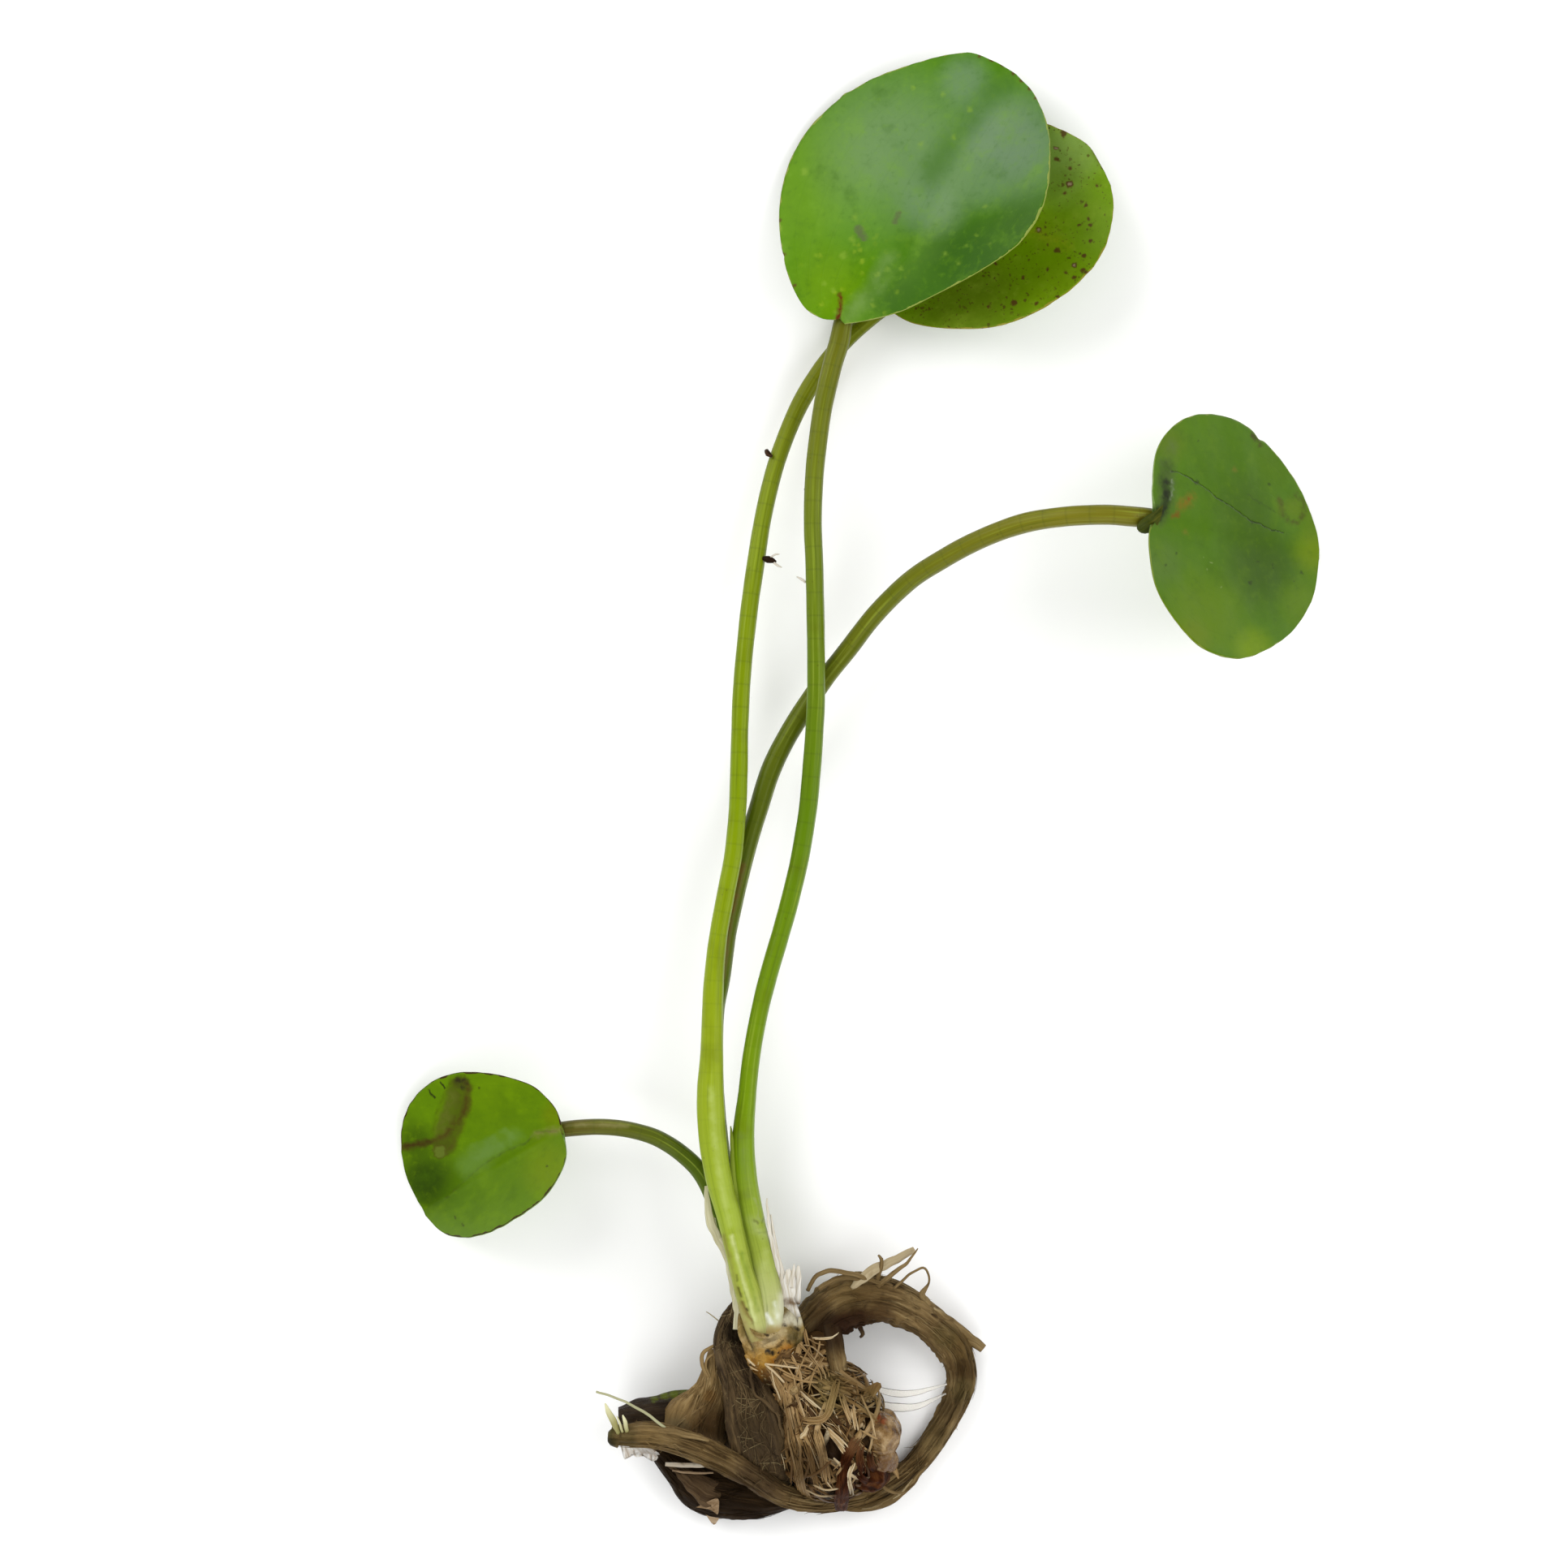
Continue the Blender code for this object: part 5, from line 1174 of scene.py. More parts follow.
# Scraps of torn membrane and loose strands, as stations along each
TORN_TUFT = [
    [(-19.6, -125, 17.6, 1.5, 0.25), (-19.2, -121.5, 18.4, 1.9, 0.18), (-19, -118.6, 18.9, 1.5, 0.1),
     (-19.4, -116.2, 19.2, 0.5, 0.06)],
    [(-17.6, -125, 16.6, 1.3, 0.2), (-17.4, -121.5, 17.6, 1.4, 0.15), (-17, -118, 18.4, 0.9, 0.08),
     (-16.8, -115.4, 19, 0.3, 0.05)],
    [(-18.6, -121, 18.6, 0.8, 0.1), (-18.2, -117.5, 19.4, 0.5, 0.07), (-17.8, -114.9, 19.9, 0.15, 0.05)],
    [(-20.4, -121, 18.4, 0.6, 0.1), (-20.9, -118, 18.9, 0.4, 0.07), (-21, -116.2, 19.2, 0.15, 0.05)],
]
STALK_WINGS = [
    [(-39.2, -96, 19.6, 0.4, 0.12), (-38.9, -100.5, 19.3, 0.8, 0.12), (-38, -105.2, 19, 1.1, 0.12),
     (-35.9, -109.8, 18.7, 1, 0.12), (-34, -114, 18.4, 0.8, 0.12), (-32.8, -120, 18.3, 0.9, 0.12),
     (-31.6, -127, 18.2, 0.9, 0.12)],
    [(-24.4, -99, 18.6, 0.2, 0.1), (-24, -105, 18.8, 0.4, 0.1), (-23, -111, 18.9, 0.6, 0.1),
     (-21.8, -117, 18.8, 0.8, 0.12), (-20.8, -123, 18.4, 1.2, 0.15), (-20, -129.5, 17.6, 1.6, 0.2)],
]


def sheath_film(title, stops):
    """Membrane one or two cells thick, so the white table shows through it."""
    film = Finish(title, Roughness=0.4, IOR=MEMBRANE_IOR, Transmission_Weight=0.35)
    streaks = film.fibres(2.2, 0.12, 4.0)
    film.colour = film.add("ValToRGB", {"Fac": streaks}, stops=stops)
    film.flatten()
    stain = [(-22.4, -124.6), (-19.2, -124.2), (-15.8, -125.2)]
    film.mark("#6a4e26", stain, 1.3, 0.8, 0.95, 0.55)
    film.mark("#8a7c54", [(-20.6, -128), (-18.2, -130)], 5.0, 1.6, 0.7, 0.3)
    film.reliefs = [(streaks, 0.15)]
    film.dress(as_painted=True)
    return film


class WATERPOPPY_OT_sheaths(bpy.types.Operator):
    """Build the torn membranes at the foot of the stalks"""

    bl_idname = "waterpoppy.sheaths"
    bl_label = "Sheaths"

    def execute(self, context):
        looks = {
            "sheath_left": (SHEATH_LEFT, "thin membrane, brown edged", STALK_WINGS[:1],
                            [(0.2, "#8a7850"), (0.36, "#cac49c"), (0.8, "#ece9cd")]),
            "sheath_right": (SHEATH_RIGHT, "thin membrane, whitish", STALK_WINGS[1:] + TORN_TUFT,
                             [(0.2, "#a8946e"), (0.38, "#d2c9b6"), (0.62, "#efece4")]),
        }
        for name, (stations, title, scraps, stops) in looks.items():
            shape = Shape()
            make_fibrous(shape, stations, 3.0, 24, 0.6, 0.1, 0.15)
            add_loose(shape, scraps, 0.5, 2.0, 10, 0.25)
            shape.make(name + "_film", [sheath_film(title, stops)], name)
        return {"FINISHED"}


RUNNER_SCRAPS = [
    [(-14.6, -122, 12.5, 0.5, 0.3), (-12.6, -118.4, 15.2, 0.55, 0.3), (-10, -117, 16.4, 0.6, 0.3),
     (-6.9, -117, 16.4, 0.6, 0.3), (-2.9, -117.9, 15.4, 0.6, 0.3), (1.2, -119.6, 13.4, 0.5, 0.3)],
    [(-12, -121.5, 13.6, 0.6, 0.25), (-7, -118.9, 14.6, 0.7, 0.25), (-1, -118.9, 14.2, 0.6, 0.25),
     (4, -120.4, 13, 0.5, 0.25)],
    [(2.4, -119.6, 13.2, 0.6, 0.3), (3.4, -116.4, 13.8, 0.5, 0.25), (3.4, -114.2, 14.1, 0.45, 0.2),
     (2.7, -113.2, 14.2, 0.25, 0.15)],
    [(2.5, -121, 12.9, 0.7, 0.3), (6, -117.9, 13.6, 0.6, 0.25), (9.8, -115, 13.4, 0.4, 0.2),
     (12.4, -111.7, 13, 0.15, 0.1)],
    [(6.5, -121.6, 12.2, 0.4, 0.3), (10.6, -117.9, 13, 0.32, 0.28), (13.6, -116.4, 13.2, 0.3, 0.25),
     (15, -118, 13.2, 0.28, 0.25), (15, -120.3, 12.7, 0.3, 0.28), (14.1, -121.9, 11.8, 0.6, 0.5),
     (13.6, -123.4, 10.8, 0.8, 0.5), (15.6, -125.8, 10, 0.5, 0.3)],
    [(-2.8, -128.2, 9.8, 0.8, 0.6), (-1.7, -131, 8.9, 0.65, 0.5), (-1.1, -133, 8.2, 0.5, 0.45),
     (-1.7, -133.9, 8, 0.3, 0.3)],
    [(13.5, -125.6, 9.6, 1, 0.5), (19.6, -130.2, 7.6, 1.8, 0.6), (24.2, -133.9, 5.8, 1.6, 0.5),
     (27.2, -135.9, 5, 1.3, 0.4), (28.6, -137, 4.7, 1.1, 0.35)],
    [(8.6, -128.6, 9.6, 0.8, 0.5), (12.4, -131.4, 8.2, 1.3, 0.6), (15.6, -134, 7.2, 1, 0.5),
     (17.4, -136.4, 6.2, 0.3, 0.3)],
    [(20.4, -147.2, 5.6, 0.3, 0.2), (21.2, -151, 5, 0.7, 0.35), (19.4, -154.6, 4.6, 0.7, 0.35),
     (16.6, -158.2, 4.4, 0.3, 0.2)],
    [(7.6, -167.6, 5.2, 0.3, 0.2), (4.2, -169.6, 5.6, 0.8, 0.35), (-0.6, -171.4, 6.2, 0.8, 0.35),
     (-5.6, -172.4, 7, 0.3, 0.2)],
    [(-9.8, -128.4, 11.2, 2.7, 1.2), (-8.8, -132.6, 13.2, 2.7, 1), (-7.7, -136.8, 15.6, 2.4, 0.9),
     (-6.7, -141.5, 16.2, 2, 0.6)],
    [(12.5, -131.6, 7.4, 0.6, 0.4), (15.4, -134.2, 6.6, 0.8, 0.4), (17.2, -137.2, 5.6, 0.7, 0.4),
     (18.4, -140.2, 4.6, 0.35, 0.3)],
    [(-58, -156, 17.8, 0.5, 0.25), (-50, -155.4, 19.8, 0.7, 0.3), (-43.5, -156.4, 21.6, 0.8, 0.3),
     (-38.5, -157.6, 22, 0.3, 0.2)],
    [(-60.4, -157.8, 15, 2.5, 1.9), (-62.3, -157.4, 15.2, 2.2, 1.7), (-63.3, -157.3, 15.3, 1.2, 1)],
    [(14.6, -165.6, 5.2, 0.3, 0.3), (10.8, -170, 4.8, 0.9, 0.5), (7, -173.2, 4.6, 1.2, 0.55),
     (3, -175.2, 4.6, 1.2, 0.55), (-1.4, -176.2, 4.8, 0.8, 0.45), (-6.4, -176.4, 5.4, 0.2, 0.25)],
    [(11.2, -168.8, 6.2, 0.12, 0.1), (9, -171.6, 6.2, 0.3, 0.15), (6.4, -173.6, 6.2, 0.12, 0.1)],
    [(3.9, -174.9, 5.9, 0.15, 0.12), (1.4, -175.8, 5.9, 0.35, 0.15), (-1.2, -176.2, 5.9, 0.12, 0.1)],
    [(3.4, -169, 9.6, 0.2, 0.2), (4.6, -170.8, 9.4, 0.45, 0.25), (6.8, -171.8, 8.4, 0.45, 0.25),
     (9.6, -172, 7.2, 0.2, 0.2)],
    [(17.4, -161.6, 6, 0.2, 0.2), (19.6, -157.6, 6.4, 0.7, 0.35), (22.2, -152.6, 6.6, 0.8, 0.35),
     (24.4, -147, 6.8, 0.2, 0.2)],
]
PALE_SHREDS = (15, 16)  # which of these scraps are dry and nearly white
# What is left of the skin below the runner's free end, as outlines, and the young shoots there
RUNNER_SKIN = [
    [(-60.2, -159.6, 14.6), (-59.7, -161.6, 14.2), (-59.2, -163.1, 13.9), (-57.6, -161.9, 14.2),
     (-56.2, -162.6, 13.9), (-54.2, -162.3, 13.8), (-52.4, -163.7, 13.4), (-51, -162.6, 13.6),
     (-52.8, -160.9, 14.3), (-56.4, -160, 14.7)],
    [(-57.6, -159.9, 15.2), (-55.8, -161.3, 15), (-53, -161.7, 14.8), (-50.6, -161.9, 14.4),
     (-52.6, -160.2, 15), (-55.2, -159.5, 15.2)],
]
SHOOTS = [
    [(-63.8, -148.7, 20.6, 0.2, 0.15), (-62.9, -151, 20.4, 0.7, 0.4), (-61.6, -153.6, 19.2, 0.85, 0.5),
     (-60.6, -156.4, 17, 0.5, 0.4)],
    [(-59.5, -151.6, 20.4, 0.15, 0.12), (-59, -153.2, 19.8, 0.5, 0.3), (-58.5, -156, 17.6, 0.5, 0.4)],
    [(-60.9, -151.9, 20, 0.12, 0.1), (-60.2, -153.9, 19.4, 0.3, 0.25), (-59.6, -156, 18.2, 0.3, 0.2)],
]


def rotted_skin():
    """The skin that is left when the flesh rots away: clear, and white where it crumples."""
    film = Finish("dead skin, see-through", Roughness=0.3, IOR=MEMBRANE_IOR, Transmission_Weight=0.6)
    streaks = film.fibres(1.5, 0.2, 3.0)
    film.colour = film.add("ValToRGB", {"Fac": streaks}, stops=[
        (0.34, "#a08c78"), (0.46, "#d8cfc2"), (0.6, "#faf8f4")])
    film.reliefs = [(streaks, 0.5)]
    film.dress(as_painted=True)
    return film


def shoot_skin():
    """Young growth that has had no light: smooth, firm and cream, greener towards its foot."""
    bud = Finish("young shoot, pale", Roughness=0.35, IOR=FLESH_IOR)
    along = bud.add("SeparateXYZ", {0: bud.grain}, out="Z")
    share = bud.add("MapRange", {"Value": along, 1: 0.0, 2: 6.0})
    bud.colour = bud.add("ValToRGB", {"Fac": share}, stops=[(0.2, "#c9c69c"), (0.9, "#8f8a52")])
    bud.dress(as_painted=True)
    return bud


class WATERPOPPY_OT_runner(bpy.types.Operator):
    """Build the withered runner that loops round the roots"""

    bl_idname = "waterpoppy.runner"
    bl_label = "Runner"

    def execute(self, context):
        # The flesh has shrunk from the fibres: dry tan strands over dark hollows
        tissue = dead_tissue(
            "withered runner, fibrous",
            [(0, "#2c1d0f"), (0.3, "#564328"), (0.55, "#786240"), (0.8, "#968059"), (1, "#bcaa84")],
            contrast=1.15, relief=0.8,
            spots=[(-9, -131.8, 5.4, "#241309", 0.9), (-3.2, -129.6, 4.8, "#2a140a", 0.92),
                   (3, -127.6, 3.4, "#3a2412", 0.7), (-12, -126, 3, "#3a2813", 0.6),
                   # The spots at (-62.6, -158.8) and (-62.8, -156) are painted shade inside the open free
                   # end
                   (23.8, -142, 3.2, "#38260f", 0.75), (-62.6, -158.8, 1.7, "#161a0a", 0.95),
                   (-62.8, -156, 1.3, "#4a4a24", 0.8), (-5.5, -123, 4, "#5f4c2a", 0.5),
                   (23, -136, 3.5, "#56421f", 0.5), (-27.4, -169, 6.5, "#38281a", 0.7),
                   (-36, -164, 4, "#4c3a20", 0.4), (20.8, -151, 3.4, "#3e301b", 0.6),
                   (-1, -174, 5, "#66502e", 0.4), (24, -147, 3, "#4f4526", 0.6),
                   (17, -158, 4, "#4c4025", 0.5), (19, -133.5, 3, "#5c4f2c", 0.5),
                   (-59, -157.4, 3.4, "#4e4220", 0.6), (16, -161, 2.6, "#8d7850", 0.55),
                   (-53, -157.6, 3, "#8f7549", 0.5), (12.4, -123.4, 3.2, "#917b54", 0.55),
                   (1, -122, 4.5, "#513d20", 0.5), (-49, -157.2, 3, "#7d6743", 0.5)])
        shape = Shape()
        folds = [(70, 0.008, 0.16), (-60, -0.004, 0.18), (160, 0.012, 0.12)]
        route = make_fibrous(shape, RUNNER, 1.0, lumps=0.13, folds=folds, ragged=0.13)
        add_fibres(shape, route, 11, 300, (6, 45), (0.07, 0.3), 1.0, (0.1, 1), cross=0.8)
        add_fibres(shape, route, 21, 160, (2, 7), (0.05, 0.2), 2.2, (0.2, 1), cross=1.6)
        tones = [0.9 - 0.08 * (i % 3) + 0.5 * (i in PALE_SHREDS) for i in range(len(RUNNER_SCRAPS))]
        add_loose(shape, RUNNER_SCRAPS, tones, 1.0, 10)
        shape.make("runner_fibres", [tissue], "runner")
        shape = Shape()
        add_flaps(shape, RUNNER_SKIN, 0.15, 0.5, 3.0, 1.0)
        shape.make("runner_skin", [rotted_skin()])
        shape = Shape()
        add_loose(shape, SHOOTS, 0.5, 5.0, 12, 0.1)
        shape.make("runner_shoots", [shoot_skin()])
        return {"FINISHED"}


TAN_SCRAPS = [
    [(-38.6, -143, 14.8, 0.5, 0.35), (-40.2, -140, 15.2, 0.5, 0.35), (-40.2, -137.4, 15.2, 0.5, 0.35),
     (-38.7, -135.9, 14.8, 0.45, 0.35), (-36.6, -135, 14.4, 0.4, 0.3)],
    [(-38.2, -143, 14.8, 0.35, 0.25), (-39.3, -140.2, 15.1, 0.3, 0.25), (-38.8, -138.2, 15.1, 0.3, 0.25),
     (-36.8, -137.2, 14.8, 0.3, 0.2)],
]
DARK_SCRAPS = [
    [(-39.4, -127.3, 13.6, 0.1, 0.1), (-37, -128.9, 14, 0.14, 0.12), (-34.9, -129.8, 14.2, 0.16, 0.12)],
    [(-28.8, -139, 20.6, 0.3, 0.2), (-28.2, -143, 21, 0.45, 0.2), (-27.2, -146.6, 21.3, 0.3, 0.2),
     (-23.6, -149.4, 21.4, 0.45, 0.2), (-21.4, -153, 20.6, 0.3, 0.2), (-20.4, -158, 18.6, 0.5, 0.25),
     (-18.6, -166, 13.4, 0.25, 0.2)],
    [(-34.6, -148, 10.5, 1.4, 1.6), (-34.4, -153, 10, 2.2, 2), (-34, -158.6, 9.4, 2.4, 2),
     (-32.4, -164, 8.4, 2, 1.6)],
]


class WATERPOPPY_OT_dead_stalks(bpy.types.Operator):
    """Build the two rotted stalks below the crown"""

    bl_idname = "waterpoppy.dead_stalks"
    bl_label = "Rotted stalks"

    def execute(self, context):
        # Long rotted and soaked: grey brown, with loose grey threads
        dark = dead_tissue(
            "rotted stalk, grey brown",
            [(0, "#20160d"), (0.3, "#3c2f20"), (0.55, "#594831"), (0.8, "#7d694b"), (1, "#a8976f")],
            contrast=0.9, spread=1.3,
            # The first spot is painted shadow at the top right of this stalk, beside the foot of the
            # stalks
            spots=[(-32.2, -131.8, 3, "#160f09", 0.92), (-30.2, -138, 2.6, "#241a12", 0.7),
                   (-27.2, -143, 3, "#2a1d14", 0.6), (-36.4, -138, 1.8, "#66553c", 0.6),
                   (-27, -155, 5, "#35291a", 0.5)])
        shape = Shape()
        folds = [(60, 0.01, 0.1), (120, -0.008, 0.12)]
        route = make_fibrous(shape, DEAD_STALK_DARK, 2.0, 72, 0.7, 0.07, 0.08, 0.45, folds)
        add_fibres(shape, route, 12, 240, (4, 22), (0.06, 0.2), 0.6, (0.25, 0.7), cross=0.9)
        add_fibres(shape, route, 22, 420, (1, 5), (0.03, 0.08), 0.9, (0.4, 0.95), cross=1.5)
        add_loose(shape, DARK_SCRAPS, [0.9, 0.55, 0.2], 1.0, 8, 0.5)
        shape.make("dead_stalk_dark_fibres", [dark], "dead_stalk_dark")
        # Newly rotted: the fibres are still straw coloured
        tan = dead_tissue(
            "rotted stalk, tan",
            [(0, "#35260f"), (0.35, "#6c5636"), (0.6, "#8f764e"), (0.85, "#aa936a"), (1, "#c2b08c")],
            contrast=0.75,
            spots=[(-35.8, -154.4, 4.2, "#2a1d0f", 0.85), (-40.6, -157, 4.6, "#4c371e", 0.7),
                   (-38.4, -147.4, 1.6, "#6e4c22", 0.6), (-46.6, -155.6, 3, "#77694a", 0.6),
                   (-39, -151.6, 3.6, "#4a341c", 0.55), (-43.4, -157.8, 3.4, "#4a341c", 0.5)])
        shape = Shape()
        route = make_fibrous(shape, DEAD_STALK_TAN, 3.0, 64, 0.7, 0.07, 0.09, 0.5,
                              [(80, 0.01, 0.12), (128, -0.02, 0.12), (48, 0.012, 0.08)])
        add_fibres(shape, route, 13, 70, (6, 20), (0.08, 0.22), 0.4, (0.2, 1), cross=0.9)
        add_loose(shape, TAN_SCRAPS, 0.8, 4.0)
        shape.make("dead_stalk_tan_fibres", [tan], "dead_stalk_tan")
        return {"FINISHED"}


# Pale roots and torn ends that lie on the limp leaf base
LEAF_BASE_SCRAPS = [
    [(-49.3, -164.4, 11.8, 0.5, 0.2), (-44.9, -164.7, 12.6, 0.6, 0.2), (-39, -164.6, 13, 0.5, 0.2)],
    [(-47.6, -166.2, 10.8, 0.2, 0.15), (-43, -166.6, 11.6, 0.3, 0.15), (-37.5, -166.6, 12, 0.2, 0.15)],
]
LEAF_BASE_TIPS = [
    [(-41.9, -175.4, 9), (-40, -174.4, 9.9), (-38.4, -173.5, 10.4), (-36.4, -173, 10.8),
     (-36.2, -175, 10.2), (-36.6, -177.2, 8.8), (-38.2, -175.9, 9.8)],
    [(-39.8, -176.8, 7.2), (-37.6, -177, 7.6), (-35.6, -176.8, 7.2), (-36.2, -178.4, 6.2),
     (-37.5, -180.2, 4.8), (-38.8, -178.6, 6)],
]
# Outlines of the limp sheets that give the leaf base its corners
LEAF_BASE_FLAPS = [
    [(-52.6, -160.4, 7), (-48.6, -167, 5), (-43.2, -174, 3.4), (-38.6, -178.6, 2.2), (-34, -176.6, 5),
     (-38, -168, 9.4), (-46, -162, 9.8)],
    [(-38.4, -178.6, 2), (-31, -178.2, 2), (-24, -176.8, 2.6), (-17, -175, 3.6), (-20, -170.6, 8),
     (-30, -170.6, 10.4), (-36, -172.4, 9)],
]
LEAF_BASE_VEIL = [
    (-48.7, -164.6, 9.4, 0.4, 0.3), (-44.8, -167.2, 10, 1.7, 0.4), (-40.8, -170, 10.2, 3, 0.5),
    (-37.6, -172, 9.6, 3.8, 0.5), (-35.6, -173.2, 8.8, 3.4, 0.4), (-34.6, -173.8, 8.2, 2.4, 0.3),
]


class WATERPOPPY_OT_rhizome(bpy.types.Operator):
    """Build the old rhizome and the limp leaf base below it"""

    bl_idname = "waterpoppy.rhizome"
    bl_label = "Old rhizome and leaf base"

    def execute(self, context):
        # Waterlogged old wood: nearly black and wet, with green algae along its top
        wood = dead_tissue(
            "old rhizome, wet and black",
            [(0, "#0f0a08"), (0.4, "#241a13"), (0.7, "#3c2f22"), (1, "#5c4c38")], 0.3,
            spots=[(-52, -148.4, 0.9, "#566018", 0.8), (-49.6, -147.8, 1, "#5a661a", 0.85),
                   (-47.2, -147.4, 1.1, "#5a661a", 0.85), (-44.8, -147.1, 1.1, "#566018", 0.8)])
        shape = Shape()
        make_fibrous(shape, OLD_RHIZOME, 4.0, 64, 0.7, 0.09, 0.16, 0.4)
        shape.make("old_rhizome_bark", [wood], "old_rhizome")
        # Slimy dead leaf: dark brown, and too soft to shine
        limp = dead_tissue(
            "limp leaf base, dark and wet",
            [(0, "#110a05"), (0.4, "#231910"), (0.7, "#382919"), (1, "#564328")], 0.45)
        limp.set(Specular_IOR_Level=0.06, Coat_Weight=0.02)
        shape = Shape()
        folds = [(60, 0.01, 0.12), (110, -0.006, 0.1), (150, 0.004, 0.12)]
        route = make_fibrous(shape, DEAD_LEAF_BASE, 5.0, 96, 0.7, 0.05, 0.08, 0.45, folds)
        add_fibres(shape, route, 15, 110, (6, 22), (0.07, 0.2), 0.4, (0.1, 0.7))
        add_flaps(shape, LEAF_BASE_FLAPS, 0.8, [0.4, 0.55], 3.0)
        shape.make("dead_leaf_base_skin", [limp], "dead_leaf_base")
        # One skin of the leaf alone: paler, with its veins standing out
        veil = dead_tissue(
            "torn leaf skin, veined",
            [(0, "#2a1d11"), (0.4, "#453423"), (0.7, "#5e4b35"), (1, "#8c785b")], 0.4, 1.3)
        shape = Shape()
        add_loose(shape, [LEAF_BASE_VEIL], 0.5, 2.0, 32, 0.6)
        shape.make("dead_leaf_base_veil", [veil])
        # Flesh torn open a short time ago: pinkish and pale
        torn = dead_tissue(
            "torn flesh, pinkish",
            [(0, "#4a3a2c"), (0.35, "#8a7154"), (0.7, "#b39a7c"), (1, "#dcd2bf")], 0.4, 0.8, spread=0.9)
        shape = Shape()
        add_loose(shape, LEAF_BASE_SCRAPS, [1.0, 0.6], 1.0, 12, 0.15)
        add_flaps(shape, LEAF_BASE_TIPS, 0.4, [0.4, 0.7], 5.0, 0.7)
        shape.make("dead_leaf_base_scraps", [torn])
        return {"FINISHED"}


# Where the roots grow from, below the crown, and where they lie between it and the mass
FAN = np.array([-21.5, -139.5, 17.0])
NECK_MIDDLE, NECK_RADII = np.array([-15.5, -141.5]), np.array([8.5, 8.0])
# Knots where many roots meet, seen from above
KNOTS = [(-18.5, -146.2), (-13.4, -153.2), (-10.4, -149), (-4.4, -161.4), (-21, -141)]


def mass_point(way, proud):
    """A point on the root mass in the direction way from its middle, and the way out there."""
    way = unit(way)
    point = MASS_CENTRE + way * MASS_RADII + way * np.reshape(proud, (-1, 1))
    return point, unit(way / MASS_RADII)


def dome(x, y):
    """Height of the top of the root mass, and of what leads to it from the crown."""
    edge_fall, neck_top, neck_fall = 13.0, 23.4, 0.045
    inside = 1 - ((x - MASS_CENTRE[0]) / MASS_RADII[0])**2 - ((y - MASS_CENTRE[1]) / MASS_RADII[1])**2
    drop = edge_fall * np.clip(-inside, 0, None)
    mass = MASS_CENTRE[2] + MASS_RADII[2] * np.sqrt(np.clip(inside, 0, 1)) - drop
    neck = neck_top - neck_fall * ((x - FAN[0] + 1.0)**2 + (y - FAN[1] - 1.0)**2)
    lumpy = 1.3 * rough(np.stack([x, y, 0 * x], axis=-1), 4.5, 12.0)
    return np.maximum(np.maximum(mass, neck) + lumpy, 1.0)


def fibre_grain(points):
    """Grain that runs out from under the crown."""
    away = points - FAN
    axis = unit(MASS_CENTRE - FAN)
    side = unit(np.cross(axis, UP))
    ways = unit(away)
    return np.stack([20 * ways @ side, 20 * ways @ np.cross(side, axis),
                     np.linalg.norm(away, axis=1)], axis=-1)


def add_blob(shape, centre, radii, tone, lumps=0.5, ridges=0.6, seed=0.0, fine=6):
    """A closed lump of matted roots."""
    builder = bmesh.new()
    bmesh.ops.create_icosphere(builder, subdivisions=fine, radius=1.0)
    ways = np.array([vert.co for vert in builder.verts])
    faces = [[vert.index for vert in face.verts] for face in builder.faces]
    builder.free()
    points = np.array(centre) + ways * np.array(radii)
    grain = fibre_grain(points)
    matted = 1 - 2 * np.abs(rough(grain * np.array([0.5, 0.5, 0.09]), 1.0, seed))
    matted = matted + 0.7 * rough(grain * np.array([1.3, 1.3, 0.15]), 1.0, seed + 1.0)
    relief = ridges * matted + lumps * rough(points, 3.5, seed + 2.0)
    shape.add(points + unit(ways / np.array(radii)) * relief[:, None], faces, grain, tone)


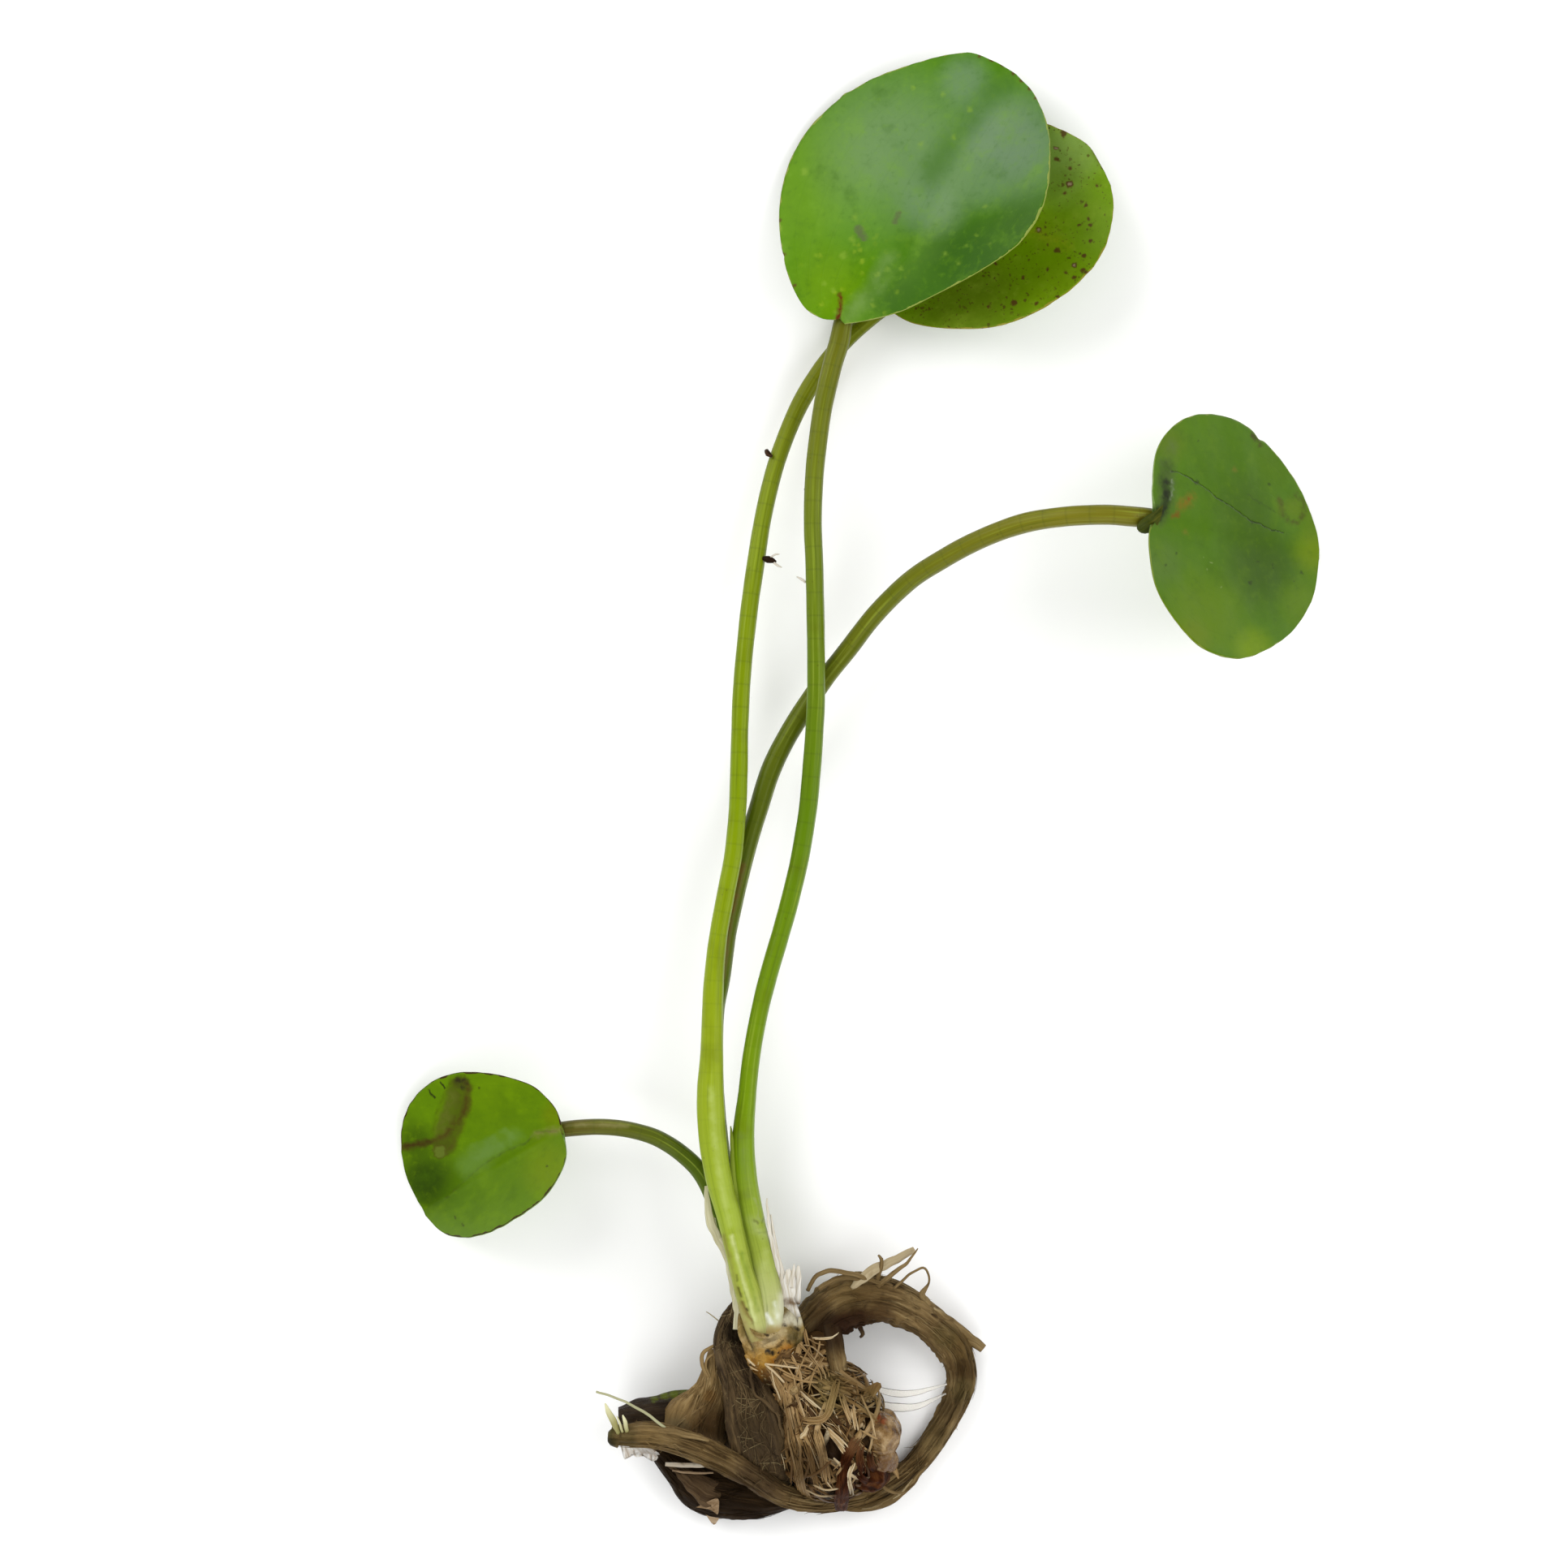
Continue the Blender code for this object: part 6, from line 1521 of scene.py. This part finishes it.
# Roots that stand out on the mass: the places along each from above, half width, shade, height
PLAIN_ROOTS = [
    ([(-16.6, -145.9), (-14, -148), (-11.3, -149.9)], 0.35, 1.0, 1.2),
    ([(-12.5, -154.7), (-11.3, -159.2), (-10.3, -165.2), (-9.9, -168)], 1.1, 0.72, 1.0),
    ([(-3.3, -162.8), (-4.5, -166.4), (-3.7, -171.6)], 0.5, 1.0, 2.0),
    ([(-17.3, -161.6), (-15.7, -171.2), (-14.2, -174.4)], 1.1, 0.6, 0.8),
    ([(-25, -138.7), (-21, -144.6), (-19.6, -150.5), (-17.6, -160)], 0.5, 0.65, 0.8),
    ([(-7.3, -143), (-8.5, -147.1), (-10.5, -151.9), (-15.8, -152.7)], 0.85, 0.6, 1.4),
    ([(-3.7, -148.7), (-3.3, -152), (-2.5, -155.1)], 0.55, 0.85, 1.2),
    ([(-6.5, -146.3), (-5.2, -149.8), (-3.7, -153.5)], 0.65, 0.8, 1.0),
    ([(-1.7, -146.7), (0.6, -151.5), (2, -157.1)], 0.22, 0.8, 1.6),
    ([(-1.3, -155.1), (0.8, -156.4), (2.4, -157.5)], 0.25, 0.7, 1.6),
    ([(-10, -154.3), (-7.4, -156.6), (-4.9, -159.2)], 0.5, 0.9, 1.3),
    ([(-9.8, -154.8), (-7.4, -157.8), (-5.2, -161)], 0.5, 0.85, 1.1),
    ([(-10.6, -162), (-8.8, -163), (-7.2, -164.4)], 0.2, 0.75, 1.0),
    ([(-25, -138.7), (-21, -139.2), (-16.9, -139.9)], 0.2, 0.95, 1.6),
    ([(-25, -138.8), (-22.6, -140.8), (-20.2, -143.4)], 0.25, 0.95, 1.3),
    ([(-23.4, -140.3), (-22.6, -143.8), (-21.2, -147.9)], 0.15, 0.95, 1.2),
    ([(-16.9, -138.7), (-17.2, -140.4), (-17.7, -142.3)], 0.4, 0.9, 1.3),
    ([(-12.4, -140), (-11.8, -141.4), (-11.3, -143.2)], 0.35, 0.7, 1.4),
    ([(-11.6, -139.8), (-10.8, -141.2), (-10.2, -143)], 0.35, 0.8, 1.6),
    ([(-10.7, -139.8), (-9.9, -140.9), (-9.4, -142.6)], 0.3, 0.65, 1.4),
    ([(-13.4, -132.6), (-11, -132.9), (-8.4, -132.8), (-6.9, -132)], 0.32, 1.0, 6.0),
    ([(-29.4, -137.4), (-28.4, -138.4), (-27.4, -139.2)], 0.4, 0.95, 3.6),
    ([(-28.8, -139.2), (-27.8, -139.9), (-26.6, -140.4)], 0.3, 0.85, 3.2),
    ([(-18.1, -145.1), (-16.6, -148.6), (-15.4, -152)], 0.4, 0.8, 0.9),
    ([(-18.1, -145.1), (-19.2, -149.6), (-18, -155)], 0.35, 0.75, 0.8),
    ([(-18.1, -145.1), (-15, -143), (-12.6, -141.6)], 0.4, 0.75, 0.9),
    ([(-14.4, -158), (-13.6, -164), (-12, -170)], 0.5, 0.45, 0.5),
    ([(-15, -170.2), (-11, -171.6), (-7.4, -171.2)], 0.2, 0.9, 1.2),
    ([(-13.2, -168.6), (-10.2, -169.8), (-7, -169.4)], 0.2, 0.9, 1.2),
    ([(-15.2, -130.8), (-14.6, -134.4), (-13.4, -138.4), (-12.8, -141.6)], 0.4, 0.65, 0.6),
    ([(-13.8, -132.4), (-12.8, -135.4), (-11.4, -139)], 0.3, 0.5, 0.4),
    ([(-11.6, -133.8), (-12.2, -136.8), (-14.4, -140)], 0.22, 0.8, 0.9),
    ([(-15.6, -134.6), (-13.2, -135.2), (-10.8, -137.6)], 0.16, 0.85, 1.0),
    ([(-14.6, -133), (-12.6, -134.2), (-10.6, -134.8)], 0.14, 0.7, 0.8),
    ([(-16.4, -137), (-14, -138.4), (-11.2, -138.8)], 0.2, 0.75, 0.8),
    ([(-16.6, -134.1), (-13.6, -137.5), (-11.2, -141)], 0.3, 0.75, 1.3),
    ([(-18.5, -136.7), (-16.6, -141), (-16, -145.4)], 0.35, 0.8, 1.2),
    ([(-13.9, -134.6), (-15.6, -138.1), (-17.9, -143)], 0.16, 0.6, 1.5),
    ([(-20.5, -141), (-16.6, -143), (-12, -143.8)], 0.25, 0.65, 1.3),
    ([(-23.5, -141), (-21.5, -145.4), (-21.1, -149.9)], 0.3, 0.6, 1.0),
    ([(-20.6, -137.6), (-18.2, -141.6), (-17.6, -144.6)], 0.16, 0.75, 1.5),
    ([(-10.6, -137.5), (-13, -141), (-14.4, -145.4)], 0.3, 0.7, 1.3),
    ([(-22.4, -139.4), (-19.4, -141), (-16.6, -142.6)], 0.2, 0.7, 1.2),
    ([(-19.8, -138.2), (-15.2, -139.4), (-11.6, -141.6)], 0.16, 0.65, 1.4),
    ([(1.2, -160.4), (3.8, -161.2), (6.2, -163.2)], 0.35, 0.45, 1.8),
    ([(2.2, -158.6), (4.6, -160.4), (6.4, -160.8)], 0.3, 0.6, 1.8),
    ([(3.4, -162.8), (5.4, -164.8), (6.2, -167)], 0.3, 0.4, 1.6),
]
# Gaps in the tangle, and places where other tissue shows: x, y, radius
GAPS = [
    (-9, -158.9, 2.6), (-19.4, -140.6, 1.3), (-16.6, -143.2, 1), (-13.2, -145.8, 1.1), (3.4, -157.5, 4.2),
    (0.4, -166.6, 4.4), (-6.4, -168.6, 1.6),
]
# Rotting red brown roots at the lower right, laid as the plain ones are
RED_ROOTS = [
    ([(-2.5, -156.7), (-4.6, -160.6), (-5.9, -165.4), (-6.5, -174)], 1.3, 0.5, 1.3),
    ([(-1.4, -158.4), (-2, -162), (-1, -166)], 0.9, 0.7, 1.3),
    ([(0.6, -160.4), (1, -164), (3.4, -166.6)], 0.9, 0.4, 1.2),
    ([(-2.6, -165.6), (0.4, -168.6), (3.6, -168.4)], 0.8, 0.3, 1.2),
    ([(2.4, -162.4), (4.4, -164.6), (5.2, -167)], 0.6, 0.8, 1.2),
]
# The end of the widest one, which hangs over the runner
RED_END = [
    (-5.4, -163.6, 22, 1, 0.3), (-5.9, -167, 21.2, 1.5, 0.4), (-6.2, -170.4, 18.6, 1.7, 0.45),
    (-6.3, -173.4, 14.4, 1.8, 0.45), (-6.3, -175.8, 10.8, 1.4, 0.4),
]
# A scrap and a small flap that stand out at the right of the mass
EAR_SCRAP = [(4.8, -164, 10.6, 1, 0.5), (6.8, -166.4, 9.4, 0.7, 0.4), (7.6, -168.4, 8.6, 0.2, 0.2)]
EAR_FLAP = [
    (-2.6, -147.8, 17.4), (-1, -145.8, 17.6), (2.4, -143.9, 16.8), (3.5, -145.1, 16.4),
    (1.8, -147.2, 16.8), (0.2, -149.2, 17),
]
# See-through root hairs that lie over the runner
FILAMENTS = [
    [(0.5, -145.4, 12.5, 0.5, 0.06), (6.3, -147.2, 10.8, 0.9, 0.06), (12.3, -147.2, 9, 0.7, 0.06),
     (19.6, -145.4, 6.4, 0.2, 0.06)],
    [(0.5, -149, 13, 0.6, 0.06), (6.3, -150.6, 11, 1.1, 0.06), (12.3, -150.6, 9, 0.8, 0.06),
     (19.4, -147.8, 6.2, 0.2, 0.06)],
]


def lay_root(shape, plan, half, tone, proud):
    """A flat root laid on the mass along a line seen from above, made of fibres side by side."""
    fibre_half, reach_past = 0.17, 1.25  # in mm, and how far each fibre laps over the next
    rows = smooth_line([(x, y, 0.0) for x, y in plan], 0.7)
    side = np.cross(unit(np.gradient(rows, axis=0)), UP)
    fibres = max(1, round(half / fibre_half))
    for i in range(fibres):
        apart = (2 * i + 1) / fibres - 1
        shift = half * apart * taper(len(rows), 0.7) + 0.15 * rough(rows, 3.0, i + 7.0)
        line = rows + side * shift[:, None]
        line = line[i % 3:len(line) - 2 * i % 3]
        line[:, 2] = dome(line[:, 0], line[:, 1]) + proud - 0.3 * half * apart**2
        wide = reach_past * half / fibres * taper(len(line), 0.5)
        add_strand(shape, line, UP, wide, 0.2 * taper(len(line), 0.5), tone - 0.12 * (i % 2), 7)


def off_mass(x, y):
    """Whether a place seen from above is off the mass and its neck, or over a gap."""
    spread = [((x - middle[0]) / radii[0])**2 + ((y - middle[1]) / radii[1])**2
              for middle, radii in ((MASS_CENTRE, MASS_RADII), (NECK_MIDDLE, NECK_RADII))]
    furthest = 1.12
    return min(spread) > furthest or any(math.dist((x, y), gap[:2]) < gap[2] for gap in GAPS)


def cover_mass(shape, rng, count):
    """Roots all round the mass, below as well."""
    fan = unit(((FAN - MASS_CENTRE) / MASS_RADII)[None])[0]
    for _ in range(count):
        start = unit(np.array([rng.gauss(0, 1), rng.gauss(0, 1), rng.gauss(0.0, 0.8)]))
        away = start - fan * (start @ fan)
        mixed = unit(away) * rng.gauss(1.0, 0.4) + unit(np.cross(start, away)) * rng.gauss(0.0, 0.6)
        onward = unit(mixed - start * (mixed @ start))
        arc = rng.uniform(0.5, 1.3)
        t = np.linspace(-0.5, 0.5, 14)
        way = np.cos(arc * t)[:, None] * start + np.sin(arc * t)[:, None] * onward
        bend = rng.uniform(-0.1, 0.1) * np.cos(t * rng.uniform(2, 7))
        way = way + np.cross(start, onward) * bend[:, None]
        lifted = rng.uniform(-1.2, 0.4) + rng.uniform(0, 1.0) * np.clip(np.abs(t) * 2 - 0.6, 0, 1)**2
        points, out = mass_point(way, lifted)
        half = rng.choice((0.2, 0.3, 0.4, 0.55, 0.75)) * rng.uniform(0.8, 1.2)
        thick = (0.12 + 0.2 * half) * taper(14, 0.5)
        add_strand(shape, points, out, half * taper(14, 0.45), thick, rng.betavariate(1.6, 1.6), 8)


def fan_roots(shape, rng, count):
    """Roots that spread from under the crown over the top of the mass, and from knots on it."""
    over_neck = 0.25  # share of them that end over the neck
    at_knot, swung = 0.16, 0.4  # shares: up to the first they start at a knot, then they swing aside
    shortest, longest = 12.0, 22.0  # what a root that is too long is cut to
    for _ in range(count):
        turn, out = rng.uniform(0, 2 * math.pi), math.sqrt(rng.uniform(0, 1)) * 1.02
        middle, radii = MASS_CENTRE[:2], MASS_RADII[:2]
        if rng.random() < over_neck:
            middle, radii = NECK_MIDDLE, NECK_RADII
        goal = middle + radii * out * np.array([math.cos(turn), math.sin(turn)])
        origin = FAN[:2] + np.array([rng.gauss(0, 2.2), rng.gauss(0, 2.2)])
        start = origin + (goal - origin) * rng.uniform(0.0, 0.5)
        kind = rng.random()
        if kind < at_knot:
            start = np.array(rng.choice(KNOTS)) + np.array([rng.gauss(0, 0.5), rng.gauss(0, 0.5)])
            spin = rng.uniform(0, 2 * math.pi)
            goal = start + rng.uniform(2.5, 9.0) * np.array([math.cos(spin), math.sin(spin)])
        elif kind < swung:
            spin = rng.uniform(-0.9, 0.9)
            turned = np.array([[math.cos(spin), -math.sin(spin)], [math.sin(spin), math.cos(spin)]])
            start = goal + turned @ (start - goal)
        reach = np.linalg.norm(goal - start)
        if reach > longest:
            start = goal + (start - goal) * rng.uniform(shortest, longest) / reach
            reach = np.linalg.norm(goal - start)
        middle = (start + goal) / 2 + np.array([rng.gauss(0, 0.09), rng.gauss(0, 0.09)]) * reach
        rows = smooth_line([(*point, 0.0) for point in (start, middle, goal)], 0.9)
        if len(rows) < 4:
            continue
        if any(off_mass(*row[:2]) for row in rows):
            continue
        drift = rng.uniform(0, 50)
        rows[:, 0] += 0.5 * rough(rows, 4.0, drift)
        rows[:, 1] += 0.5 * rough(rows, 4.0, drift + 1)
        rows[:, 2] = dome(rows[:, 0], rows[:, 1]) + rng.uniform(-1.0, 0.7)
        rows[:, 2] += rng.uniform(-0.6, 0.6) * np.linspace(-1, 1, len(rows))**2
        half = rng.choice((0.08, 0.1, 0.14, 0.2, 0.3, 0.42, 0.65)) * rng.uniform(0.8, 1.2)
        thick = (0.09 + 0.2 * half) * taper(len(rows), 0.5)
        tone = min(1.0, rng.betavariate(1.7, 2.7) + (0.15 if half < 0.2 else 0.0))
        add_strand(shape, rows, UP, half * taper(len(rows), 0.4), thick, tone, 7)


def tuber_skin():
    """A wet skin over swollen tissue, so it has small bright highlights."""
    lump = Finish("root tuber, wet", Roughness=0.26, IOR=FLESH_IOR, Specular_IOR_Level=0.35,
                  Specular_Tint="#d8c49c", Coat_Weight=0.4, Coat_Roughness=0.06, Coat_IOR=WATER_IOR)
    clouds = lump.add("TexNoise", {"Vector": lump.place, "Scale": 0.4, "Detail": 4.0})
    lump.colour = lump.add("ValToRGB", {"Fac": clouds}, stops=[
        (0.3, "#4e341c"), (0.46, "#7a5c36"), (0.58, "#957850"), (0.75, "#b89e78")])
    lump.flatten()
    lump.mark("#7c2c0c", [(2.4, -152.4, 0.8), (4, -153.2, 0.6)], 0.0, 0.6, 0.7)
    lump.mark("#4c2a14", [(4.6, -164.6, 2.6), (-1.6, -160.8, 2)], 0.0, 1.6, 0.7)
    lump.mark("#b39a6c", [(-18.1, -145.1, 1.6)], 0.0, 1.0, 0.6)
    bumps = lump.add("TexNoise", {"Vector": lump.place, "Scale": 0.9, "Detail": 3.0})
    lump.reliefs = [(bumps, 1.3)]
    lump.dress()
    return lump


def rotten_root():
    """Root flesh that has gone soft and red brown, with a dull wet skin."""
    rotten = Finish("rotting root, red brown", Roughness=0.42, IOR=FLESH_IOR,
                    Specular_IOR_Level=0.05, Specular_Tint="#c89468", Coat_Weight=0.02,
                    Coat_Roughness=0.1, Coat_IOR=WATER_IOR)
    fibres = rotten.fibres(1.4, 0.25, 5.0)
    tone = rotten.add("Attribute", out="Fac", attribute_name="tone")
    shade = rotten.add("Math", {0: tone, 1: 0.3, 2: fibres}, operation="MULTIPLY_ADD")
    rotten.colour = rotten.add("ValToRGB", {"Fac": shade}, stops=[
        (0.4, "#1a0a03"), (0.58, "#371a0c"), (0.74, "#50301a"), (0.9, "#7c5c3c")])
    rotten.flatten()
    rotten.mark("#7c5a3c", [(-3, -158, 2.4), (3.6, -162.4, 2.2)], 0.0, 1.8, 0.6)
    rotten.reliefs = [(fibres, 0.8)]
    rotten.dress()
    return rotten


class WATERPOPPY_OT_root_mass(bpy.types.Operator):
    """Build the tangle of flat roots"""

    bl_idname = "waterpoppy.root_mass"
    bl_label = "Root mass"

    def execute(self, context):
        # Roots packed and rotted together, made darker still as painted shade for the gaps between the
        # roots over them, with only a hint of separate strands; the spot at (-9, -160) is painted shade
        # in the deepest gap
        matted = dead_tissue(
            "matted roots",
            [(0, "#140b05"), (0.35, "#2b1b0d"), (0.65, "#463016"), (1, "#67492a")], 0.5, 1.0, 0.6,
            spots=[(0.3, -168, 6.2, "#30160a", 0.9), (-9, -160, 4, "#1c0e07", 0.85),
                   (-18, -140.5, 4.4, "#2a180c", 0.75)])
        shape = Shape()
        add_blob(shape, MASS_CENTRE, MASS_RADII - 1.4, 0.5, seed=1.0)
        add_blob(shape, (-15.6, -144.6, 11), (7.8, 7.6, 6.6), 0.55, seed=4.0, fine=5)
        add_blob(shape, (-12.6, -136.6, 12.4), (3.2, 4.6, 3.4), 0.7, seed=5.0, fine=5)
        shape.make("root_mass_core", [matted], "root_mass")
        shape = Shape()
        add_blob(shape, (2, -156.8, 12.6), (6, 6.2, 7.2), 0.5, 0.9, 0.25, 7.0, 5)
        add_blob(shape, (2.6, -162.6, 10.6), (4.8, 4.2, 6.4), 0.5, 0.9, 0.25, 8.0, 5)
        add_blob(shape, (-18.1, -145.1, 20.4), (1.2, 1.3, 1.1), 0.5, 0.3, 0.3, 9.0, 4)
        add_blob(shape, (-11.3, -151.9, 22.4), (1.4, 1.2, 1), 0.5, 0.3, 0.3, 10.0, 4)
        shape.make("root_mass_tubers", [tuber_skin()])
        shape = Shape()
        add_blob(shape, (0.2, -166.8, 11.2), (5.2, 4.4, 5.2), 0.3, 0.8, 0.5, 11.0, 5)
        for red_root in RED_ROOTS:
            lay_root(shape, *red_root)
        add_loose(shape, [RED_END], 0.35, 3.0, 16, 0.15)
        shape.make("root_mass_rotten", [rotten_root()])
        # Live roots, washed clean: pale tan, wet and smooth, with some older and browner
        root = dead_tissue(
            "flat root, pale tan",
            [(0, "#342010"), (0.22, "#5e4428"), (0.48, "#876b44"), (0.76, "#ab8f66"), (1, "#d6c6a4")],
            0.36, 1.0, 0.2, 1.0, spots=[
                (-19.5, -142.5, 5, "#a08055", 0.3), (-9, -146, 4.5, "#7f7244", 0.4),
                # The near black spot at (-9.2, -159) is painted shade at the edge of the deepest gap
                (-18, -146, 2.2, "#b8986a", 0.5), (-9.2, -159, 1.9, "#26150a", 0.85),
                (-18, -160.5, 2.8, "#4a371f", 0.6), (-15.8, -166.4, 2.6, "#46341e", 0.6),
                (-19.6, -154.6, 2.8, "#543f26", 0.55),
                (-6.7, -172, 2.4, "#341809", 0.8),
                (0.8, -169.8, 4.6, "#2e1206", 0.85), (-6.5, -173.5, 3.6, "#341a0a", 0.8),
                (-13, -171, 3.4, "#3c2812", 0.4),
                (-13.6, -163, 4.2, "#43301a", 0.75), (-8.6, -164.6, 2.6, "#48301a", 0.5),
                (-3.6, -144.6, 4.4, "#523c20", 0.55),
                (-13, -136, 2.6, "#5a4020", 0.4),
                (2, -149, 4, "#66552f", 0.5)])
        shape = Shape()
        rng = random.Random(31)
        count = plant_settings().root_count
        cover_mass(shape, rng, count)
        fan_roots(shape, rng, count * 4)
        for plain_root in PLAIN_ROOTS:
            lay_root(shape, *plain_root)
        add_loose(shape, [EAR_SCRAP], 0.6, 2.0, 12, 0.3)
        add_flaps(shape, [EAR_FLAP], 0.25, 0.3, 2.0, 0.3)
        shape.make("root_mass_roots", [root])
        # A root hair is a single clear cell, so only its bent edges catch the light
        clear = Finish("root hair, see-through", Roughness=0.2, IOR=MEMBRANE_IOR,
                       Transmission_Weight=0.85, Base_Color="#f2efe8")
        shape = Shape()
        add_loose(shape, FILAMENTS, 0.5, 1.0, 8, 0.1)
        shape.make("root_mass_hairs", [clear])
        return {"FINISHED"}


class WATERPOPPY_OT_loose_roots(bpy.types.Operator):
    """Build the roots that stand clear of the mass"""

    bl_idname = "waterpoppy.loose_roots"
    bl_label = "Loose roots"

    def execute(self, context):
        # A young root: even, smooth and faintly green
        fresh = dead_tissue(
            "thin root, pale green", [(0, "#8f9068"), (0.5, "#aaa985"), (1, "#c4c3a4")], 0.4, 0.6,
            0.05)
        shape = Shape()
        add_loose(shape, [ROOT_LEFT], 0.6, 6.0, 12, 0.15)
        shape.make("root_left_strand", [fresh], "root_left")
        # An old root that has dried flat: matt and straw coloured
        dry = dead_tissue(
            "flat root, dry", [(0, "#8a7858"), (0.5, "#aa9a7a"), (1, "#c8bb9c")], 0.5, 0.8, 0.2)
        shape = Shape()
        add_loose(shape, [ROOT_UPPER], 0.6, 7.0, 16, 0.3)
        shape.make("root_upper_strand", [dry], "root_upper")
        return {"FINISHED"}


class WATERPOPPY_OT_stage(bpy.types.Operator):
    """Set up the pale table, the soft lamps and the camera"""

    bl_idname = "waterpoppy.stage"
    bl_label = "Table, lamps and camera"

    def execute(self, context):
        settings = plant_settings()
        scene = context.scene
        # Painted board, sprayed matt: no highlight, and almost even
        table = Finish("matt white table", settings.floor_colour, Roughness=0.9)
        clouds = table.add("TexNoise", {"Vector": table.place, "Scale": 0.02, "Detail": 2.0})
        table.tint("#f6f6f4", clouds, 0.7, 0.3, 0.015)
        table.dress(as_painted=True)
        mesh = bpy.data.meshes.new("table")
        reach = 3.0  # in metres, so its edge is far out of view
        corners = [(-reach, -reach, 0.0), (reach, -reach, 0.0), (reach, reach, 0.0), (-reach, reach, 0.0)]
        mesh.from_pydata(corners, [], [(0, 1, 2, 3)])
        mesh.materials.append(table.material)
        floor = bpy.data.objects.new("table", mesh)
        scene.collection.objects.link(floor)
        world = bpy.data.worlds.new("soft studio")
        world.use_nodes = True
        light = world.node_tree.nodes["Background"]
        light.inputs["Color"].default_value = (1, 1, 1, 1)
        light.inputs["Strength"].default_value = 0.58
        scene.world = world
        # Place in metres, and share of the power of the key lamp
        lamps = {"key": ((-1, 0.85, 1), 1.0), "right": ((1.15, 0.2, 1), 0.75),
                 "low": ((-0.1, -1.25, 1), 0.62)}
        for name, (place, share) in lamps.items():
            lamp = bpy.data.lights.new(name + " lamp", "AREA")
            lamp.energy = settings.lamp_power * share
            lamp.size = 1.2
            holder = bpy.data.objects.new(name + " lamp", lamp)
            holder.location = place
            holder.rotation_euler = (-Vector(place)).to_track_quat("-Z", "Y").to_euler()
            scene.collection.objects.link(holder)
        lens = bpy.data.cameras.new("camera")
        lens.lens = CAMERA_HEIGHT * lens.sensor_width / PHOTO_WIDTH
        lens.clip_end = 10.0
        camera = bpy.data.objects.new("camera", lens)
        camera.location = (CAMERA_X * MM, CAMERA_Y * MM, CAMERA_HEIGHT * MM)
        scene.collection.objects.link(camera)
        scene.camera = camera
        scene.view_settings.view_transform = "Standard"
        return {"FINISHED"}


OPERATORS = (
    WATERPOPPY_OT_leaves, WATERPOPPY_OT_stalks, WATERPOPPY_OT_crown, WATERPOPPY_OT_sheaths,
    WATERPOPPY_OT_runner, WATERPOPPY_OT_dead_stalks, WATERPOPPY_OT_rhizome,
    WATERPOPPY_OT_root_mass, WATERPOPPY_OT_loose_roots, WATERPOPPY_OT_stage,
)


class WATERPOPPY_PT_panel(bpy.types.Panel):
    """Sizes, colours and parts of the water poppy"""

    bl_label = "Water poppy"
    bl_idname = "WATERPOPPY_PT_panel"
    bl_space_type = "VIEW_3D"
    bl_region_type = "UI"
    bl_category = "Water poppy"

    def draw(self, context):
        settings = context.scene.water_poppy
        for name in WaterPoppySettings.__annotations__:
            self.layout.prop(settings, name)
        for operator in OPERATORS:
            self.layout.operator(operator.bl_idname)


CLASSES = (WaterPoppySettings, *OPERATORS, WATERPOPPY_PT_panel)


def register():
    for each in CLASSES:
        bpy.utils.register_class(each)
    bpy.types.Scene.water_poppy = PointerProperty(type=WaterPoppySettings)


def unregister():
    del bpy.types.Scene.water_poppy
    for each in reversed(CLASSES):
        bpy.utils.unregister_class(each)


def main():
    register()
    for operator in OPERATORS:
        group, name = operator.bl_idname.split(".")
        result = getattr(getattr(bpy.ops, group), name)()
        if "FINISHED" not in result:
            raise RuntimeError(f"{operator.bl_label} wasn't finished")


if __name__ == "__main__":
    main()
